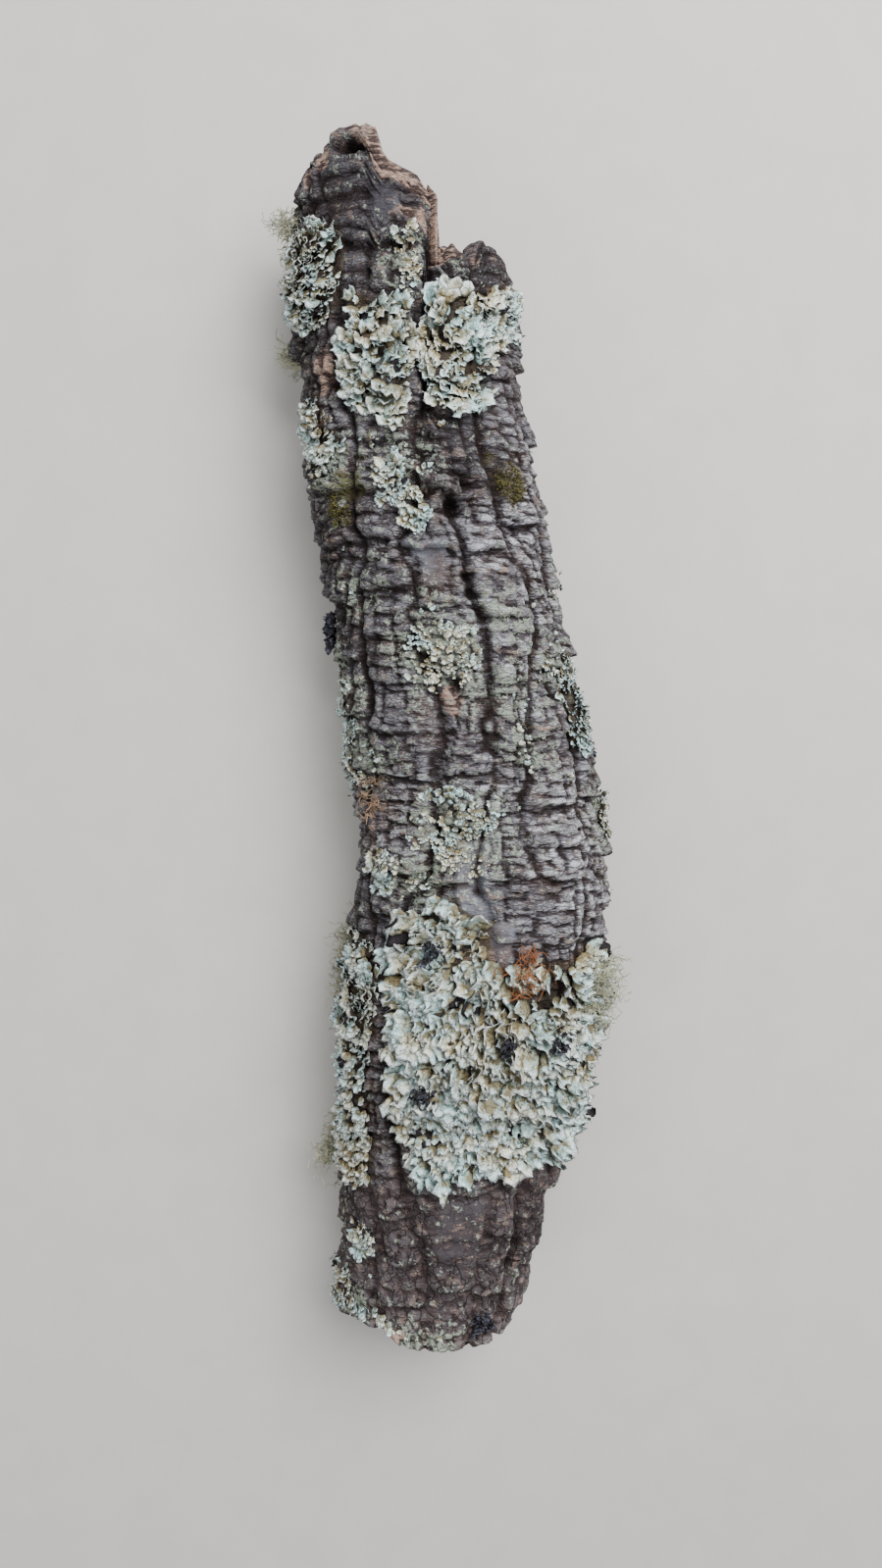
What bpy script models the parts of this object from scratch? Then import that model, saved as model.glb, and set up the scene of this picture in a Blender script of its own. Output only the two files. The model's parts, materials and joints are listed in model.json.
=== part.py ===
"""Cork branch: a hollow, thick-barked length of cork oak branch lying down, with the lichens that grow on it.

Metres and degrees, +Z up. The branch lies along Y, its broken end at +Y and its sawn end at -Y.
A place on the bark is given as (around, along): around is the angle in degrees from the top of the
branch, positive towards +X, and along is the distance in Y from the branch's middle.
"""
import math

import bmesh
import bpy
import numpy as np

# Driving dimensions.
BROKEN_END_START = 0.200
WALL = 0.0145
MEAN_RADIUS = 0.055
SETTLE = 0.0015
CLEARANCE = 0.0006

# The branch's line and thickness: along, centre in X, half width, half height.
STATIONS = (
    (-0.310, -0.009, 0.053, 0.041), (-0.250, 0.001, 0.056, 0.042), (-0.200, 0.007, 0.061, 0.044),
    (-0.150, 0.013, 0.065, 0.046), (-0.110, 0.019, 0.067, 0.047), (-0.060, 0.022, 0.066, 0.047),
    (0.000, 0.016, 0.063, 0.045), (0.050, 0.007, 0.061, 0.044), (0.100, -0.002, 0.059, 0.044),
    (0.150, -0.010, 0.059, 0.044), (0.200, -0.017, 0.055, 0.042), (0.250, -0.018, 0.055, 0.041),
    (0.315, -0.022, 0.053, 0.040),
)

# The furrows of the upper side, from the left one to the right one: along, around, depth.
FURROWS = (
    ((-0.300, -76, 0.004), (-0.240, -84, 0.004), (-0.190, -94, 0.005), (-0.135, -98, 0.005),
     (-0.085, -104, 0.006), (-0.030, -98, 0.005), (0.020, -90, 0.005), (0.080, -80, 0.004),
     (0.150, -72, 0.005), (0.300, -78, 0.004)),
    ((-0.295, -28, 0.004), (-0.240, -43, 0.005), (-0.190, -57, 0.005), (-0.135, -57, 0.005),
     (-0.085, -60, 0.005), (-0.055, -69, 0.005), (-0.030, -63, 0.006), (0.030, -50, 0.006),
     (0.070, -45, 0.005), (0.110, -40, 0.005), (0.150, -34, 0.005), (0.215, -38, 0.004),
     (0.300, -42, 0.002)),
    ((-0.290, -3, 0.004), (-0.235, -17, 0.006), (-0.210, -25, 0.008), (-0.185, -34, 0.009),
     (-0.155, -39, 0.008), (-0.125, -38, 0.006), (-0.100, -40, 0.006), (-0.070, -36, 0.005),
     (-0.045, -27, 0.005), (-0.020, -18, 0.005), (0.005, -14, 0.006), (0.040, -14, 0.006),
     (0.080, -15, 0.003), (0.115, -13, 0.003), (0.150, -3, 0.006), (0.180, 7, 0.008),
     (0.245, 14, 0.007), (0.275, 20, 0.006)),
    ((-0.290, 25, 0.004), (-0.240, 24, 0.003), (-0.180, 16, 0.003), (-0.130, 11, 0.003),
     (-0.085, 5, 0.003), (-0.055, -2, 0.004), (-0.020, 4, 0.003), (0.015, 10, 0.004),
     (0.045, 13, 0.007), (0.070, 15, 0.009), (0.095, 18, 0.009), (0.105, 16, 0.008),
     (0.125, 11, 0.007), (0.160, 11, 0.004), (0.245, 24, 0.003)),
    ((-0.290, 49, 0.008), (-0.260, 49, 0.009), (-0.230, 44, 0.008), (-0.205, 42, 0.007),
     (-0.175, 43, 0.005), (-0.130, 36, 0.004), (-0.080, 26, 0.004), (-0.030, 22, 0.004),
     (0.020, 27, 0.005), (0.040, 32, 0.005), (0.065, 42, 0.005), (0.095, 50, 0.006),
     (0.110, 43, 0.006), (0.140, 36, 0.006), (0.180, 35, 0.004), (0.245, 40, 0.004)),
    ((-0.285, 81, 0.005), (-0.250, 79, 0.005), (-0.215, 69, 0.005), (-0.180, 65, 0.004),
     (-0.135, 57, 0.005), (-0.090, 53, 0.005), (-0.025, 55, 0.005), (0.010, 59, 0.006),
     (0.040, 64, 0.005), (0.065, 69, 0.005), (0.130, 71, 0.006), (0.190, 73, 0.005),
     (0.245, 80, 0.004)),
)
HIDDEN_FURROWS = 7
HIDDEN_FURROW_DEPTH = 0.005
FURROW_WIDTH = 0.0045
CROWN = 0.0020
LEDGE = 0.0020
PLATE = 0.0016
DEEPEST = -0.0095

# The outlines of the two ends of the outer bark: around, along.
SAWN_OUTLINE = (
    (-180, -0.303), (-90, -0.300), (-55, -0.297), (-35, -0.300), (-10, -0.304), (20, -0.307), (45, -0.308),
    (65, -0.302), (90, -0.297), (130, -0.300), (180, -0.303),
)
BROKEN_OUTLINE = (
    (-180, 0.276), (-150, 0.268), (-120, 0.278), (-90, 0.275), (-62, 0.287), (-43, 0.297), (-28, 0.304),
    (-16, 0.302), (-11, 0.288), (-4, 0.284), (7, 0.279), (15, 0.270), (17, 0.245), (24, 0.247), (41, 0.244),
    (45, 0.252), (60, 0.253), (80, 0.249), (88, 0.240), (110, 0.250), (140, 0.260), (180, 0.276),
)
BROKEN_LIP = 0.006
BROKEN_LIP_TURN = 3.0

# Swellings and pits: around, along, radius, height.
LUMPS = (
    (10, 0.141, 0.015, 0.0060), (-30, 0.020, 0.022, 0.0020), (40, -0.065, 0.018, 0.0025),
    (-62, 0.240, 0.018, 0.0030),
    (12.5, 0.127, 0.006, -0.0070), (21, 0.141, 0.006, -0.0060), (3, 0.149, 0.005, -0.0040),
    (-26, 0.298, 0.006, -0.0050), (47, 0.120, 0.008, -0.0030),
)

# How finely the bark is drawn.
RIB_STEPS = (0.0, 0.14, 0.50, 0.86)
WIDE_RIB_STEPS = (0.0, 0.12, 0.38, 0.64, 0.90)
WIDE_RIBS = (1, 2)
PLAIN_ROWS = 42
BROKEN_ROWS = 9
INNER_ROWS = 6

# The leafy lichen mats, each a closed outline of (around, along), with the thickness of its middle.
MATS = {
    "leafy_lichen_lower_mat": (0.0042, (
        (-12, -0.062), (1, -0.078), (2, -0.097), (10, -0.095), (26, -0.093), (32, -0.096), (58, -0.092),
        (90, -0.110), (104, -0.150), (96, -0.190), (75, -0.204), (61, -0.203), (38, -0.197), (28, -0.207),
        (16, -0.201), (1, -0.214), (-18, -0.197), (-31, -0.187), (-34, -0.159), (-35, -0.125), (-40, -0.104),
        (-42, -0.076), (-26, -0.069))),
    "leafy_lichen_lower_left_strip": (0.0040, (
        (-84, -0.088), (-46, -0.091), (-46, -0.124), (-48, -0.151), (-51, -0.179), (-40, -0.197),
        (-39, -0.212), (-53, -0.224), (-78, -0.216), (-84, -0.183), (-82, -0.145), (-84, -0.120))),
    "leafy_lichen_upper_left_mat": (0.0040, (
        (-32, 0.225), (-15, 0.227), (0, 0.222), (7, 0.213), (5, 0.200), (2, 0.185), (-3, 0.176), (-4, 0.164),
        (-12, 0.164), (-18, 0.174), (-33, 0.177), (-34, 0.195), (-28, 0.214))),
    "leafy_lichen_upper_right_mat": (0.0040, (
        (15, 0.228), (37, 0.233), (60, 0.237), (76, 0.226), (72, 0.212), (54, 0.204), (40, 0.194),
        (36, 0.176), (23, 0.173), (11, 0.176), (10, 0.190), (12, 0.206))),
    "leafy_lichen_left_shoulder": (0.0042, (
        (-44, 0.268), (-34, 0.260), (-36, 0.240), (-40, 0.226), (-50, 0.212), (-70, 0.222), (-94, 0.236),
        (-90, 0.250), (-70, 0.256), (-58, 0.266))),
    "leafy_lichen_left_cheek": (0.0034, (
        (-52, 0.186), (-44, 0.172), (-42, 0.154), (-56, 0.148), (-66, 0.160), (-72, 0.178))),
    "leafy_lichen_centre": (0.0030, (
        (-16, 0.075), (10, 0.075), (12, 0.056), (4, 0.040), (-18, 0.038), (-22, 0.056))),
    "leafy_lichen_waist": (0.0032, (
        (-30, -0.010), (-6, -0.006), (6, -0.022), (2, -0.044), (-14, -0.049), (-30, -0.038))),
    "leafy_lichen_right_edge": (0.0036, (
        (62, 0.062), (88, 0.056), (90, 0.014), (62, 0.008), (58, 0.032))),
    "leafy_lichen_left_waist": (0.0030, (
        (-80, 0.040), (-58, 0.040), (-60, 0.004), (-80, 0.002))),
    "leafy_lichen_foot": (0.0032, (
        (-96, -0.276), (-60, -0.272), (-40, -0.284), (-24, -0.288), (-24, -0.302), (-96, -0.302))),
    "leafy_lichen_far_side_upper": (0.0038, (
        (112, 0.202), (138, 0.196), (144, 0.170), (128, 0.154), (108, 0.165))),
    "leafy_lichen_far_side_lower": (0.0038, (
        (-136, 0.012), (-112, 0.022), (-104, -0.010), (-118, -0.034), (-140, -0.026))),
}

# Small growths: around, along, width, length, height, the growth it sits on or None.
LOWER_MAT = "leafy_lichen_lower_mat"
LEFT_BEARD = "beard_lichen_left_middle"
TUFTS = {
    "leafy_lichen_top_fleck": (2, 0.249, 0.012, 0.018, 0.0026, None),
    "leafy_lichen_throat": (-20, 0.152, 0.016, 0.018, 0.0030, None),
    "leafy_lichen_knot_strip": (-5, 0.130, 0.012, 0.022, 0.0030, None),
    "leafy_lichen_left_block": (-38, -0.048, 0.016, 0.018, 0.0026, None),
    "leafy_lichen_heel": (-50, -0.246, 0.020, 0.018, 0.0034, None),
    "leafy_lichen_right_flank": (86, -0.028, 0.014, 0.022, 0.0040, None),
    "dark_lichen_elbow": (-88, 0.073, 0.014, 0.020, 0.0120, None),
    "dark_lichen_right_edge": (98, 0.014, 0.010, 0.018, 0.0050, None),
    "dark_lichen_left_lower": (-98, -0.172, 0.014, 0.020, 0.0120, None),
    "dark_lichen_mat_middle": (11, -0.134, 0.018, 0.018, 0.0040, LOWER_MAT),
    "dark_lichen_mat_right": (40, -0.140, 0.014, 0.018, 0.0040, LOWER_MAT),
    "dark_lichen_mat_upper": (-19, -0.092, 0.014, 0.018, 0.0034, LOWER_MAT),
    "dark_lichen_mat_lower": (-14, -0.156, 0.014, 0.018, 0.0034, LOWER_MAT),
    "dark_lichen_foot": (30, -0.294, 0.016, 0.018, 0.0040, None),
    "beard_lichen_shoulder": (-76, 0.266, 0.018, 0.026, 0.0110, None),
    "beard_lichen_left_edge": (-92, 0.205, 0.014, 0.020, 0.0100, None),
    "beard_lichen_left_middle": (-98, -0.106, 0.016, 0.056, 0.0190, None),
    "dark_lichen_left_upper": (-98, -0.108, 0.012, 0.020, 0.0060, LEFT_BEARD),
    "beard_lichen_left_lower": (-94, -0.214, 0.016, 0.022, 0.0110, None),
    "beard_lichen_right": (92, -0.106, 0.016, 0.030, 0.0100, LOWER_MAT),
    "orange_fibre_tuft": (17, -0.104, 0.014, 0.018, 0.0040, LOWER_MAT),
    "straw_fibre_tuft": (-62, -0.022, 0.018, 0.016, 0.0060, None),
    "moss_cushion_right": (46, 0.141, 0.010, 0.022, 0.0034, None),
    "moss_cushion_left": (-38, 0.128, 0.010, 0.022, 0.0030, None),
}
EDGE_THICKNESS = 0.0014

# Plain colours (red, green, blue) and roughness, by the first word of a node's name.
FINISHES = {
    "cork": ((0.20, 0.15, 0.13), 0.95),
    "leafy": ((0.56, 0.62, 0.50), 0.90),
    "dark": ((0.03, 0.025, 0.03), 0.80),
    "beard": ((0.46, 0.47, 0.33), 0.95),
    "orange": ((0.55, 0.20, 0.07), 0.90),
    "straw": ((0.50, 0.33, 0.20), 0.90),
    "moss": ((0.20, 0.20, 0.04), 0.95),
}


def clear_scene():
    """Remove whatever the starting scene holds."""
    for thing in list(bpy.data.objects):
        bpy.data.objects.remove(thing, do_unlink=True)


def smooth_curve(table, along, column=1):
    """Read a smooth curve through one column of the table at the given distances along."""
    rows = np.array(sorted(table), dtype=float)
    places = rows[:, 0]
    values = rows[:, column]
    slopes = np.gradient(values, places)
    left = np.clip(np.searchsorted(places, along) - 1, 0, len(places) - 2)
    gap = places[left + 1] - places[left]
    u = np.clip((along - places[left]) / gap, 0.0, 1.0)
    start = (1 + 2 * u) * (1 - u) ** 2 * values[left] + u * (1 - u) ** 2 * gap * slopes[left]
    end = u * u * (3 - 2 * u) * values[left + 1] + u * u * (u - 1) * gap * slopes[left + 1]
    return start + end


def chance(*whole_numbers):
    """A steady scattered value from 0 to 1 for each set of whole numbers."""
    mix = np.zeros(np.broadcast(*whole_numbers).shape, dtype=np.int64)
    for number, factor in zip(whole_numbers, (73856093, 19349663, 83492791, 15485863)):
        mix = mix ^ (np.asarray(number, dtype=np.int64) * factor)
    mix = (mix ^ (mix >> 13)) * 1274126177 & 0x7FFFFFFF
    mix = (mix ^ (mix >> 15)) * 668265263 & 0x7FFFFFFF
    return (mix >> 7) / float(0x7FFFFFFF >> 7)


def swell(points, size, seed):
    """Soft bumps from -1 to 1 with about the given size, over points in space."""
    cells = points / size
    low = np.floor(cells).astype(np.int64)
    part = cells - low
    part = part * part * (3 - 2 * part)
    total = np.zeros(points.shape[:-1])
    for dx in (0, 1):
        for dy in (0, 1):
            for dz in (0, 1):
                weight = (np.abs(1 - dx - part[..., 0]) * np.abs(1 - dy - part[..., 1])
                          * np.abs(1 - dz - part[..., 2]))
                total += weight * chance(low[..., 0] + dx, low[..., 1] + dy, low[..., 2] + dz, seed)
    return 2 * total - 1


def furrow_around(index, along):
    """The angle of one furrow, counted from the left one round to itself again."""
    last = len(FURROWS) - 1
    if index <= last:
        return smooth_curve(FURROWS[index], along)
    turn = smooth_curve(FURROWS[0], along) + 360.0
    share = (index - last) / (HIDDEN_FURROWS + 1)
    bend = 3.0 * np.sin(along / 0.05 + 2.1 * index) * (index < last + HIDDEN_FURROWS + 1)
    return (1 - share) * smooth_curve(FURROWS[last], along) + share * turn + bend


def furrow_depth(index, along):
    """The depth of one furrow."""
    index = index % (len(FURROWS) + HIDDEN_FURROWS)
    if index < len(FURROWS):
        return smooth_curve(FURROWS[index], along, column=2)
    return HIDDEN_FURROW_DEPTH * (1 + 0.3 * np.sin(along / 0.07 + index))


def base_section(along):
    """Centre and half sizes of the branch at a distance along: x, z, half width, half height."""
    centre = smooth_curve(STATIONS, along, 1)
    half_width = smooth_curve(STATIONS, along, 2)
    half_height = smooth_curve(STATIONS, along, 3)
    return centre, half_height - SETTLE, half_width, half_height


def outward(around, along):
    """The direction straight out of the bark, as x and z."""
    _, _, half_width, half_height = base_section(along)
    angle = np.radians(around)
    x = np.sin(angle) / half_width
    z = np.cos(angle) / half_height
    length = np.hypot(x, z)
    return x / length, z / length


def section_point(around, along, inset=0.0):
    """A point of the branch's plain oval section, moved in by inset."""
    centre, height, half_width, half_height = base_section(along)
    angle = np.radians(around)
    x = centre + (half_width - inset) * np.sin(angle)
    z = height + (half_height - inset) * np.cos(angle)
    return np.stack(np.broadcast_arrays(x, along, z), axis=-1)


def relief(rib, across, around, along):
    """How far the bark stands out of its plain section: ribs, furrows, ledges, the knot and its pits."""
    _, _, half_width, half_height = base_section(along)
    radius = np.sqrt(half_width * half_height)
    width = np.radians(furrow_around(rib + 1, along) - furrow_around(rib, along)) * radius
    from_left = across * width
    from_right = (1 - across) * width
    height = CROWN * (1 - (2 * across - 1) ** 2)
    height = height - furrow_depth(rib, along) * np.exp(-(from_left / FURROW_WIDTH) ** 2)
    height = height - furrow_depth(rib + 1, along) * np.exp(-(from_right / FURROW_WIDTH) ** 2)
    step = along / (0.022 + 0.014 * chance(rib, 1)) + 7.0 * chance(rib, 2)
    plate = np.floor(step)
    tilt = LEDGE * (1 - 2 * (step - plate)) + PLATE * (2 * chance(rib, plate, 3) - 1)
    height = height + tilt * (1 - (2 * across - 1) ** 4)
    place = section_point(around, along)
    height = height + 0.0016 * swell(place, 0.045, 11) + 0.0010 * swell(place, 0.017, 12)
    for lump_around, lump_along, lump_radius, lump_height in LUMPS:
        turn = wrapped_turn(around - lump_around)
        away = np.hypot(np.radians(turn) * radius, along - lump_along)
        height = height + lump_height * np.exp(-(away / lump_radius) ** 2)
    return np.maximum(height, DEEPEST)


def wrapped_turn(angle):
    """An angle brought between -180 and 180 degrees."""
    return (angle + 180.0) % 360.0 - 180.0


def outline_at(outline, around):
    """How far along an end of the branch reaches at an angle."""
    table = np.array(outline)
    return np.interp(wrapped_turn(around), table[:, 0], table[:, 1])


def bark_grid():
    """The outside of the bark: rows of points along the branch by columns around it."""
    ribs = len(FURROWS) + HIDDEN_FURROWS
    columns = []
    for rib in range(ribs):
        steps = WIDE_RIB_STEPS if rib in WIDE_RIBS else RIB_STEPS
        columns += [(rib, step) for step in steps]
    near_top = np.array(0.265)
    points = np.zeros((PLAIN_ROWS + BROKEN_ROWS + 1, len(columns), 3))
    arounds = np.zeros(points.shape[:2])
    for column, (rib, step) in enumerate(columns):
        edge = (1 - step) * furrow_around(rib, near_top) + step * furrow_around(rib + 1, near_top)
        plain = np.linspace(outline_at(SAWN_OUTLINE, edge), BROKEN_END_START, PLAIN_ROWS + 1)
        broken = np.linspace(BROKEN_END_START, outline_at(BROKEN_OUTLINE, edge), BROKEN_ROWS + 1)[1:]
        along = np.concatenate([plain, broken])
        around = (1 - step) * furrow_around(rib, along) + step * furrow_around(rib + 1, along)
        height = relief(rib, step, around, along)
        out_x, out_z = outward(around, along)
        place = section_point(around, along)
        place[:, 0] += out_x * height
        place[:, 2] = np.maximum(place[:, 2] + out_z * height, 0.0)
        points[:, column] = place
        arounds[:, column] = around
    return points, arounds


def rim_ring(outer, arounds, inset_share, reach):
    """A ring of points partway through the wall at an end of the branch."""
    inner = section_point(arounds, outer[:, 1], WALL)
    ring = outer + (inner - outer) * inset_share
    ring[:, 1] = reach
    return ring


def bark_rings(points, arounds):
    """Every ring of the bark's one closed skin: outside, broken end, hollow, sawn end."""
    rings = [points[row] for row in range(points.shape[0])]
    top = arounds[-1]
    lip_outline = np.maximum(points[-1][:, 1], outline_at(BROKEN_OUTLINE, top - BROKEN_LIP_TURN))
    ragged = 0.003 * swell(points[-1], 0.012, 21)
    rings.append(rim_ring(points[-1], top, 0.40, lip_outline + BROKEN_LIP + ragged))
    inner_top = lip_outline + 0.5 * BROKEN_LIP + ragged
    for row in range(INNER_ROWS + 1):
        share = row / INNER_ROWS
        along = (1 - share) * inner_top + share * (points[0][:, 1] + 0.001)
        around = (1 - share) * top + share * arounds[0]
        ring = section_point(around, along, WALL)
        dent = 0.0012 * swell(ring, 0.040, 22)
        out_x, out_z = outward(around, along)
        ring[:, 0] += out_x * dent
        ring[:, 2] += out_z * dent
        rings.append(ring)
    rings.append(rim_ring(points[0], arounds[0], 0.50, points[0][:, 1] - 0.0015))
    return rings


def bark_mesh(rings):
    """Points and triangles of the bark, each ring joined to the next and the last to the first."""
    count = len(rings[0])
    faces = []
    for ring in range(len(rings)):
        below = ring * count
        above = (ring + 1) % len(rings) * count
        for column in range(count):
            beside = (column + 1) % count
            faces.append((below + beside, below + column, above + column))
            faces.append((below + beside, above + column, above + beside))
    return np.concatenate(rings), faces


def inside_outline(outline, around, along):
    """Whether a place lies inside a closed outline of places."""
    inside = False
    last_around, last_along = outline[-1]
    for next_around, next_along in outline:
        if (next_along > along) != (last_along > along):
            share = (along - next_along) / (last_along - next_along)
            if around < next_around + share * (last_around - next_around):
                inside = not inside
        last_around, last_along = next_around, next_along
    return inside


class Growths:
    """Lays growths on the cells of the bark's grid, never two on one point of it."""

    def __init__(self, points, arounds):
        self.points = points
        self.arounds = arounds
        self.rows = points.shape[0] - 1
        self.columns = points.shape[1]
        self.taken = set()
        self.tops = {}

    def corners(self, cell):
        """The four grid points of a cell: low left, low right, high right, high left."""
        row, column = cell
        beside = (column + 1) % self.columns
        return (row, column), (row, beside), (row + 1, beside), (row + 1, column)

    def middle(self, cell):
        """The place of a cell's middle."""
        around = [self.arounds[corner] for corner in self.corners(cell)]
        along = [self.points[corner][1] for corner in self.corners(cell)]
        around = [around[0] + wrapped_turn(angle - around[0]) for angle in around]
        return wrapped_turn(sum(around) / 4), sum(along) / 4

    def free(self, cell, allowed):
        """Whether a growth may cover a cell: on bare bark, or wholly on the growth named."""
        if allowed is None:
            return not any(corner in self.taken for corner in self.corners(cell))
        return all(corner in self.tops[allowed] for corner in self.corners(cell))

    def cells_in_outline(self, outline):
        """The free cells whose middles lie in an outline, without cells that meet only at a corner."""
        cells = set()
        for row in range(self.rows):
            for column in range(self.columns):
                around, along = self.middle((row, column))
                if inside_outline(outline, around, along) and self.free((row, column), None):
                    cells.add((row, column))
        return self.largest_sheet(self.without_pinches(cells))

    def without_pinches(self, cells):
        """Drop one of any two cells that share only a corner."""
        cells = set(cells)
        changed = True
        while changed:
            changed = False
            for row, column in sorted(cells):
                for side in (-1, 1):
                    beside = (column + side) % self.columns
                    meets = (row + 1, beside) in cells
                    if meets and (row + 1, column) not in cells and (row, beside) not in cells:
                        cells.discard((row, column))
                        changed = True
        return cells

    def largest_sheet(self, cells):
        """The largest group of cells joined edge to edge."""
        left = set(cells)
        best = set()
        while left:
            group = {left.pop()}
            edge = list(group)
            while edge:
                row, column = edge.pop()
                for other in ((row + 1, column), (row - 1, column), (row, (column + 1) % self.columns),
                              (row, (column - 1) % self.columns)):
                    if other in left:
                        left.discard(other)
                        group.add(other)
                        edge.append(other)
            best = max(best, group, key=len)
        return best

    def cells_in_block(self, around, along, width, length, allowed):
        """A block of free cells, at least two by two, nearest to a place and about the given size."""
        best = None
        for row in range(self.rows - 1):
            for column in range(self.columns):
                here, reach = self.middle((row, column))
                if abs(wrapped_turn(here - around)) > 30 or abs(reach - along) > 0.03:
                    continue
                cells = self.block_from(row, column, width, length)
                if not all(self.free(cell, allowed) for cell in cells):
                    continue
                middles = [self.middle(cell) for cell in cells]
                turn = sum(wrapped_turn(place[0] - around) for place in middles) / len(middles)
                aside = math.radians(turn) * MEAN_RADIUS
                miss = math.hypot(aside, sum(place[1] for place in middles) / len(middles) - along)
                if best is None or miss < best[0]:
                    best = (miss, cells)
        return set(best[1])

    def block_from(self, row, column, width, length):
        """Cells from one corner cell, enough of them to span a width and a length."""
        wide = 1
        while wide < 2 or self.span((row, column), (row, (column + wide) % self.columns)) < 0.8 * width:
            wide += 1
        tall = 2
        while row + tall < self.rows and self.span((row, column), (row + tall, column)) < 0.8 * length:
            tall += 1
        return [(row + up, (column + side) % self.columns) for up in range(tall) for side in range(wide)]

    def span(self, one, other):
        """The distance between two grid points."""
        return float(np.linalg.norm(self.points[one] - self.points[other]))

    def lay(self, cells, height, name, on=None):
        """Points and triangles of a closed growth over the given cells, thin at its edge and high inside."""
        edges = self.edge_loop(cells)
        rim = {corner for edge in edges for corner in edge}
        corners = sorted({corner for cell in cells for corner in self.corners(cell)})
        index = {corner: number for number, corner in enumerate(corners)}
        count = len(corners)
        floor = np.zeros((count, 3))
        roof = np.zeros((count, 3))
        tops = {}
        for number, corner in enumerate(corners):
            place = self.points[corner]
            below = (self.tops[on][corner] if on else 0.0) + CLEARANCE
            unevenness = 0.8 + 0.4 * float(chance(corner[0], corner[1], len(name)))
            thickness = EDGE_THICKNESS if corner in rim else height * unevenness
            out_x, out_z = outward(self.arounds[corner], place[1])
            direction = np.array([out_x, 0.0, out_z])
            floor[number] = place + direction * below
            roof[number] = place + direction * (below + thickness)
            tops[corner] = below + thickness
        faces = []
        for cell in sorted(cells):
            low_left, low_right, high_right, high_left = [index[corner] for corner in self.corners(cell)]
            for face in ((low_right, low_left, high_left), (low_right, high_left, high_right)):
                faces.append(tuple(count + point for point in face))
                faces.append(tuple(reversed(face)))
        for start, end in edges:
            a, b = index[start], index[end]
            faces.append((a, b, count + b))
            faces.append((a, count + b, count + a))
        self.taken.update(corners)
        self.tops[name] = tops
        return np.concatenate([floor, roof]), faces

    def edge_loop(self, cells):
        """The grid edges round a set of cells, each directed so that its wall faces out."""
        directed = set()
        for cell in cells:
            low_left, low_right, high_right, high_left = self.corners(cell)
            for edge in ((low_right, low_left), (low_left, high_left), (high_left, high_right),
                         (high_right, low_right)):
                directed.add(edge)
        return sorted(edge for edge in directed if (edge[1], edge[0]) not in directed)


def finish(name):
    """A plain material of its own for one node."""
    colour, roughness = FINISHES[name.split("_")[0]]
    material = bpy.data.materials.new(name)
    material.use_nodes = True
    shader = material.node_tree.nodes["Principled BSDF"]
    shader.inputs["Base Color"].default_value = (*colour, 1.0)
    shader.inputs["Roughness"].default_value = roughness
    return material


def add_piece(collection, name, points, faces):
    """One named object from points and triangles."""
    mesh = bpy.data.meshes.new(name)
    mesh.from_pydata([tuple(point) for point in points], [], faces)
    work = bmesh.new()
    work.from_mesh(mesh)
    bmesh.ops.recalc_face_normals(work, faces=work.faces)
    work.to_mesh(mesh)
    work.free()
    mesh.materials.append(finish(name))
    piece = bpy.data.objects.new(name, mesh)
    collection.objects.link(piece)


def main():
    clear_scene()
    collection = bpy.data.collections.new("cork_branch")
    bpy.context.scene.collection.children.link(collection)
    points, arounds = bark_grid()
    pieces = {"cork_bark": bark_mesh(bark_rings(points, arounds))}
    growths = Growths(points, arounds)
    for name, (height, outline) in MATS.items():
        pieces[name] = growths.lay(growths.cells_in_outline(outline), height, name)
    for name, (around, along, width, length, height, on) in TUFTS.items():
        cells = growths.cells_in_block(around, along, width, length, on)
        pieces[name] = growths.lay(cells, height, name, on)
    every_point = np.concatenate([piece_points for piece_points, _ in pieces.values()])
    middle = (every_point.min(axis=0) + every_point.max(axis=0)) / 2
    shift = np.array([-middle[0], -middle[1], 0.0])
    for name, (piece_points, faces) in pieces.items():
        add_piece(collection, name, piece_points + shift, faces)


main()
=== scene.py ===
"""Cork branch: the finish of the bark and of everything that grows on it.

Metres and degrees. The branch lies along Y with its broken end at +Y. A place on the bark is
(around, along): around is the angle in degrees from the top of the branch, positive towards +X,
and along is the distance in Y from the branch's middle.
"""

import json
import math

import bpy
import numpy as np
from bpy.props import FloatProperty, FloatVectorProperty, PointerProperty
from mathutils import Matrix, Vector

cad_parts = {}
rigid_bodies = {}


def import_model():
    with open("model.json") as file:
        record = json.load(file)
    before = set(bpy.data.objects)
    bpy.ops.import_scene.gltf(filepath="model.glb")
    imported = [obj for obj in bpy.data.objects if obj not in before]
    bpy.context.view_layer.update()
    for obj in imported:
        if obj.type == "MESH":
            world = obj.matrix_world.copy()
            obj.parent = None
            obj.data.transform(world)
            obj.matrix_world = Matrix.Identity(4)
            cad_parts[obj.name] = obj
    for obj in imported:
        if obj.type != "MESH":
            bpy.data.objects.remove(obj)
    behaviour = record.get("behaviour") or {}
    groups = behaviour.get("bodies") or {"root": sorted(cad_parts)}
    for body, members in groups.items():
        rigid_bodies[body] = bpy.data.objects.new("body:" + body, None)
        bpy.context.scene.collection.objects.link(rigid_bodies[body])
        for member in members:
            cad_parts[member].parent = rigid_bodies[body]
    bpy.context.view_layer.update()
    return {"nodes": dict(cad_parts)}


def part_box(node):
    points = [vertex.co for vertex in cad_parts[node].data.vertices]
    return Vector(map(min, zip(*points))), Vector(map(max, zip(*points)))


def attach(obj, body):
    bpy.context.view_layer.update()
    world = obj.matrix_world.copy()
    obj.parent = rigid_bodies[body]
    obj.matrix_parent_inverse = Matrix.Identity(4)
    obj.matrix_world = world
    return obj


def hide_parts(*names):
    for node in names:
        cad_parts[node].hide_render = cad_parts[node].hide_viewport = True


bl_info = {
    "name": "Cork Branch",
    "version": (1, 0, 0),
    "blender": (4, 5, 0),
    "location": "3D View > Sidebar > Cork Branch",
    "description": "Builds a hollow cork oak branch with leafy, dark and beard lichens on it",
    "category": "Object",
}

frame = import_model()

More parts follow.
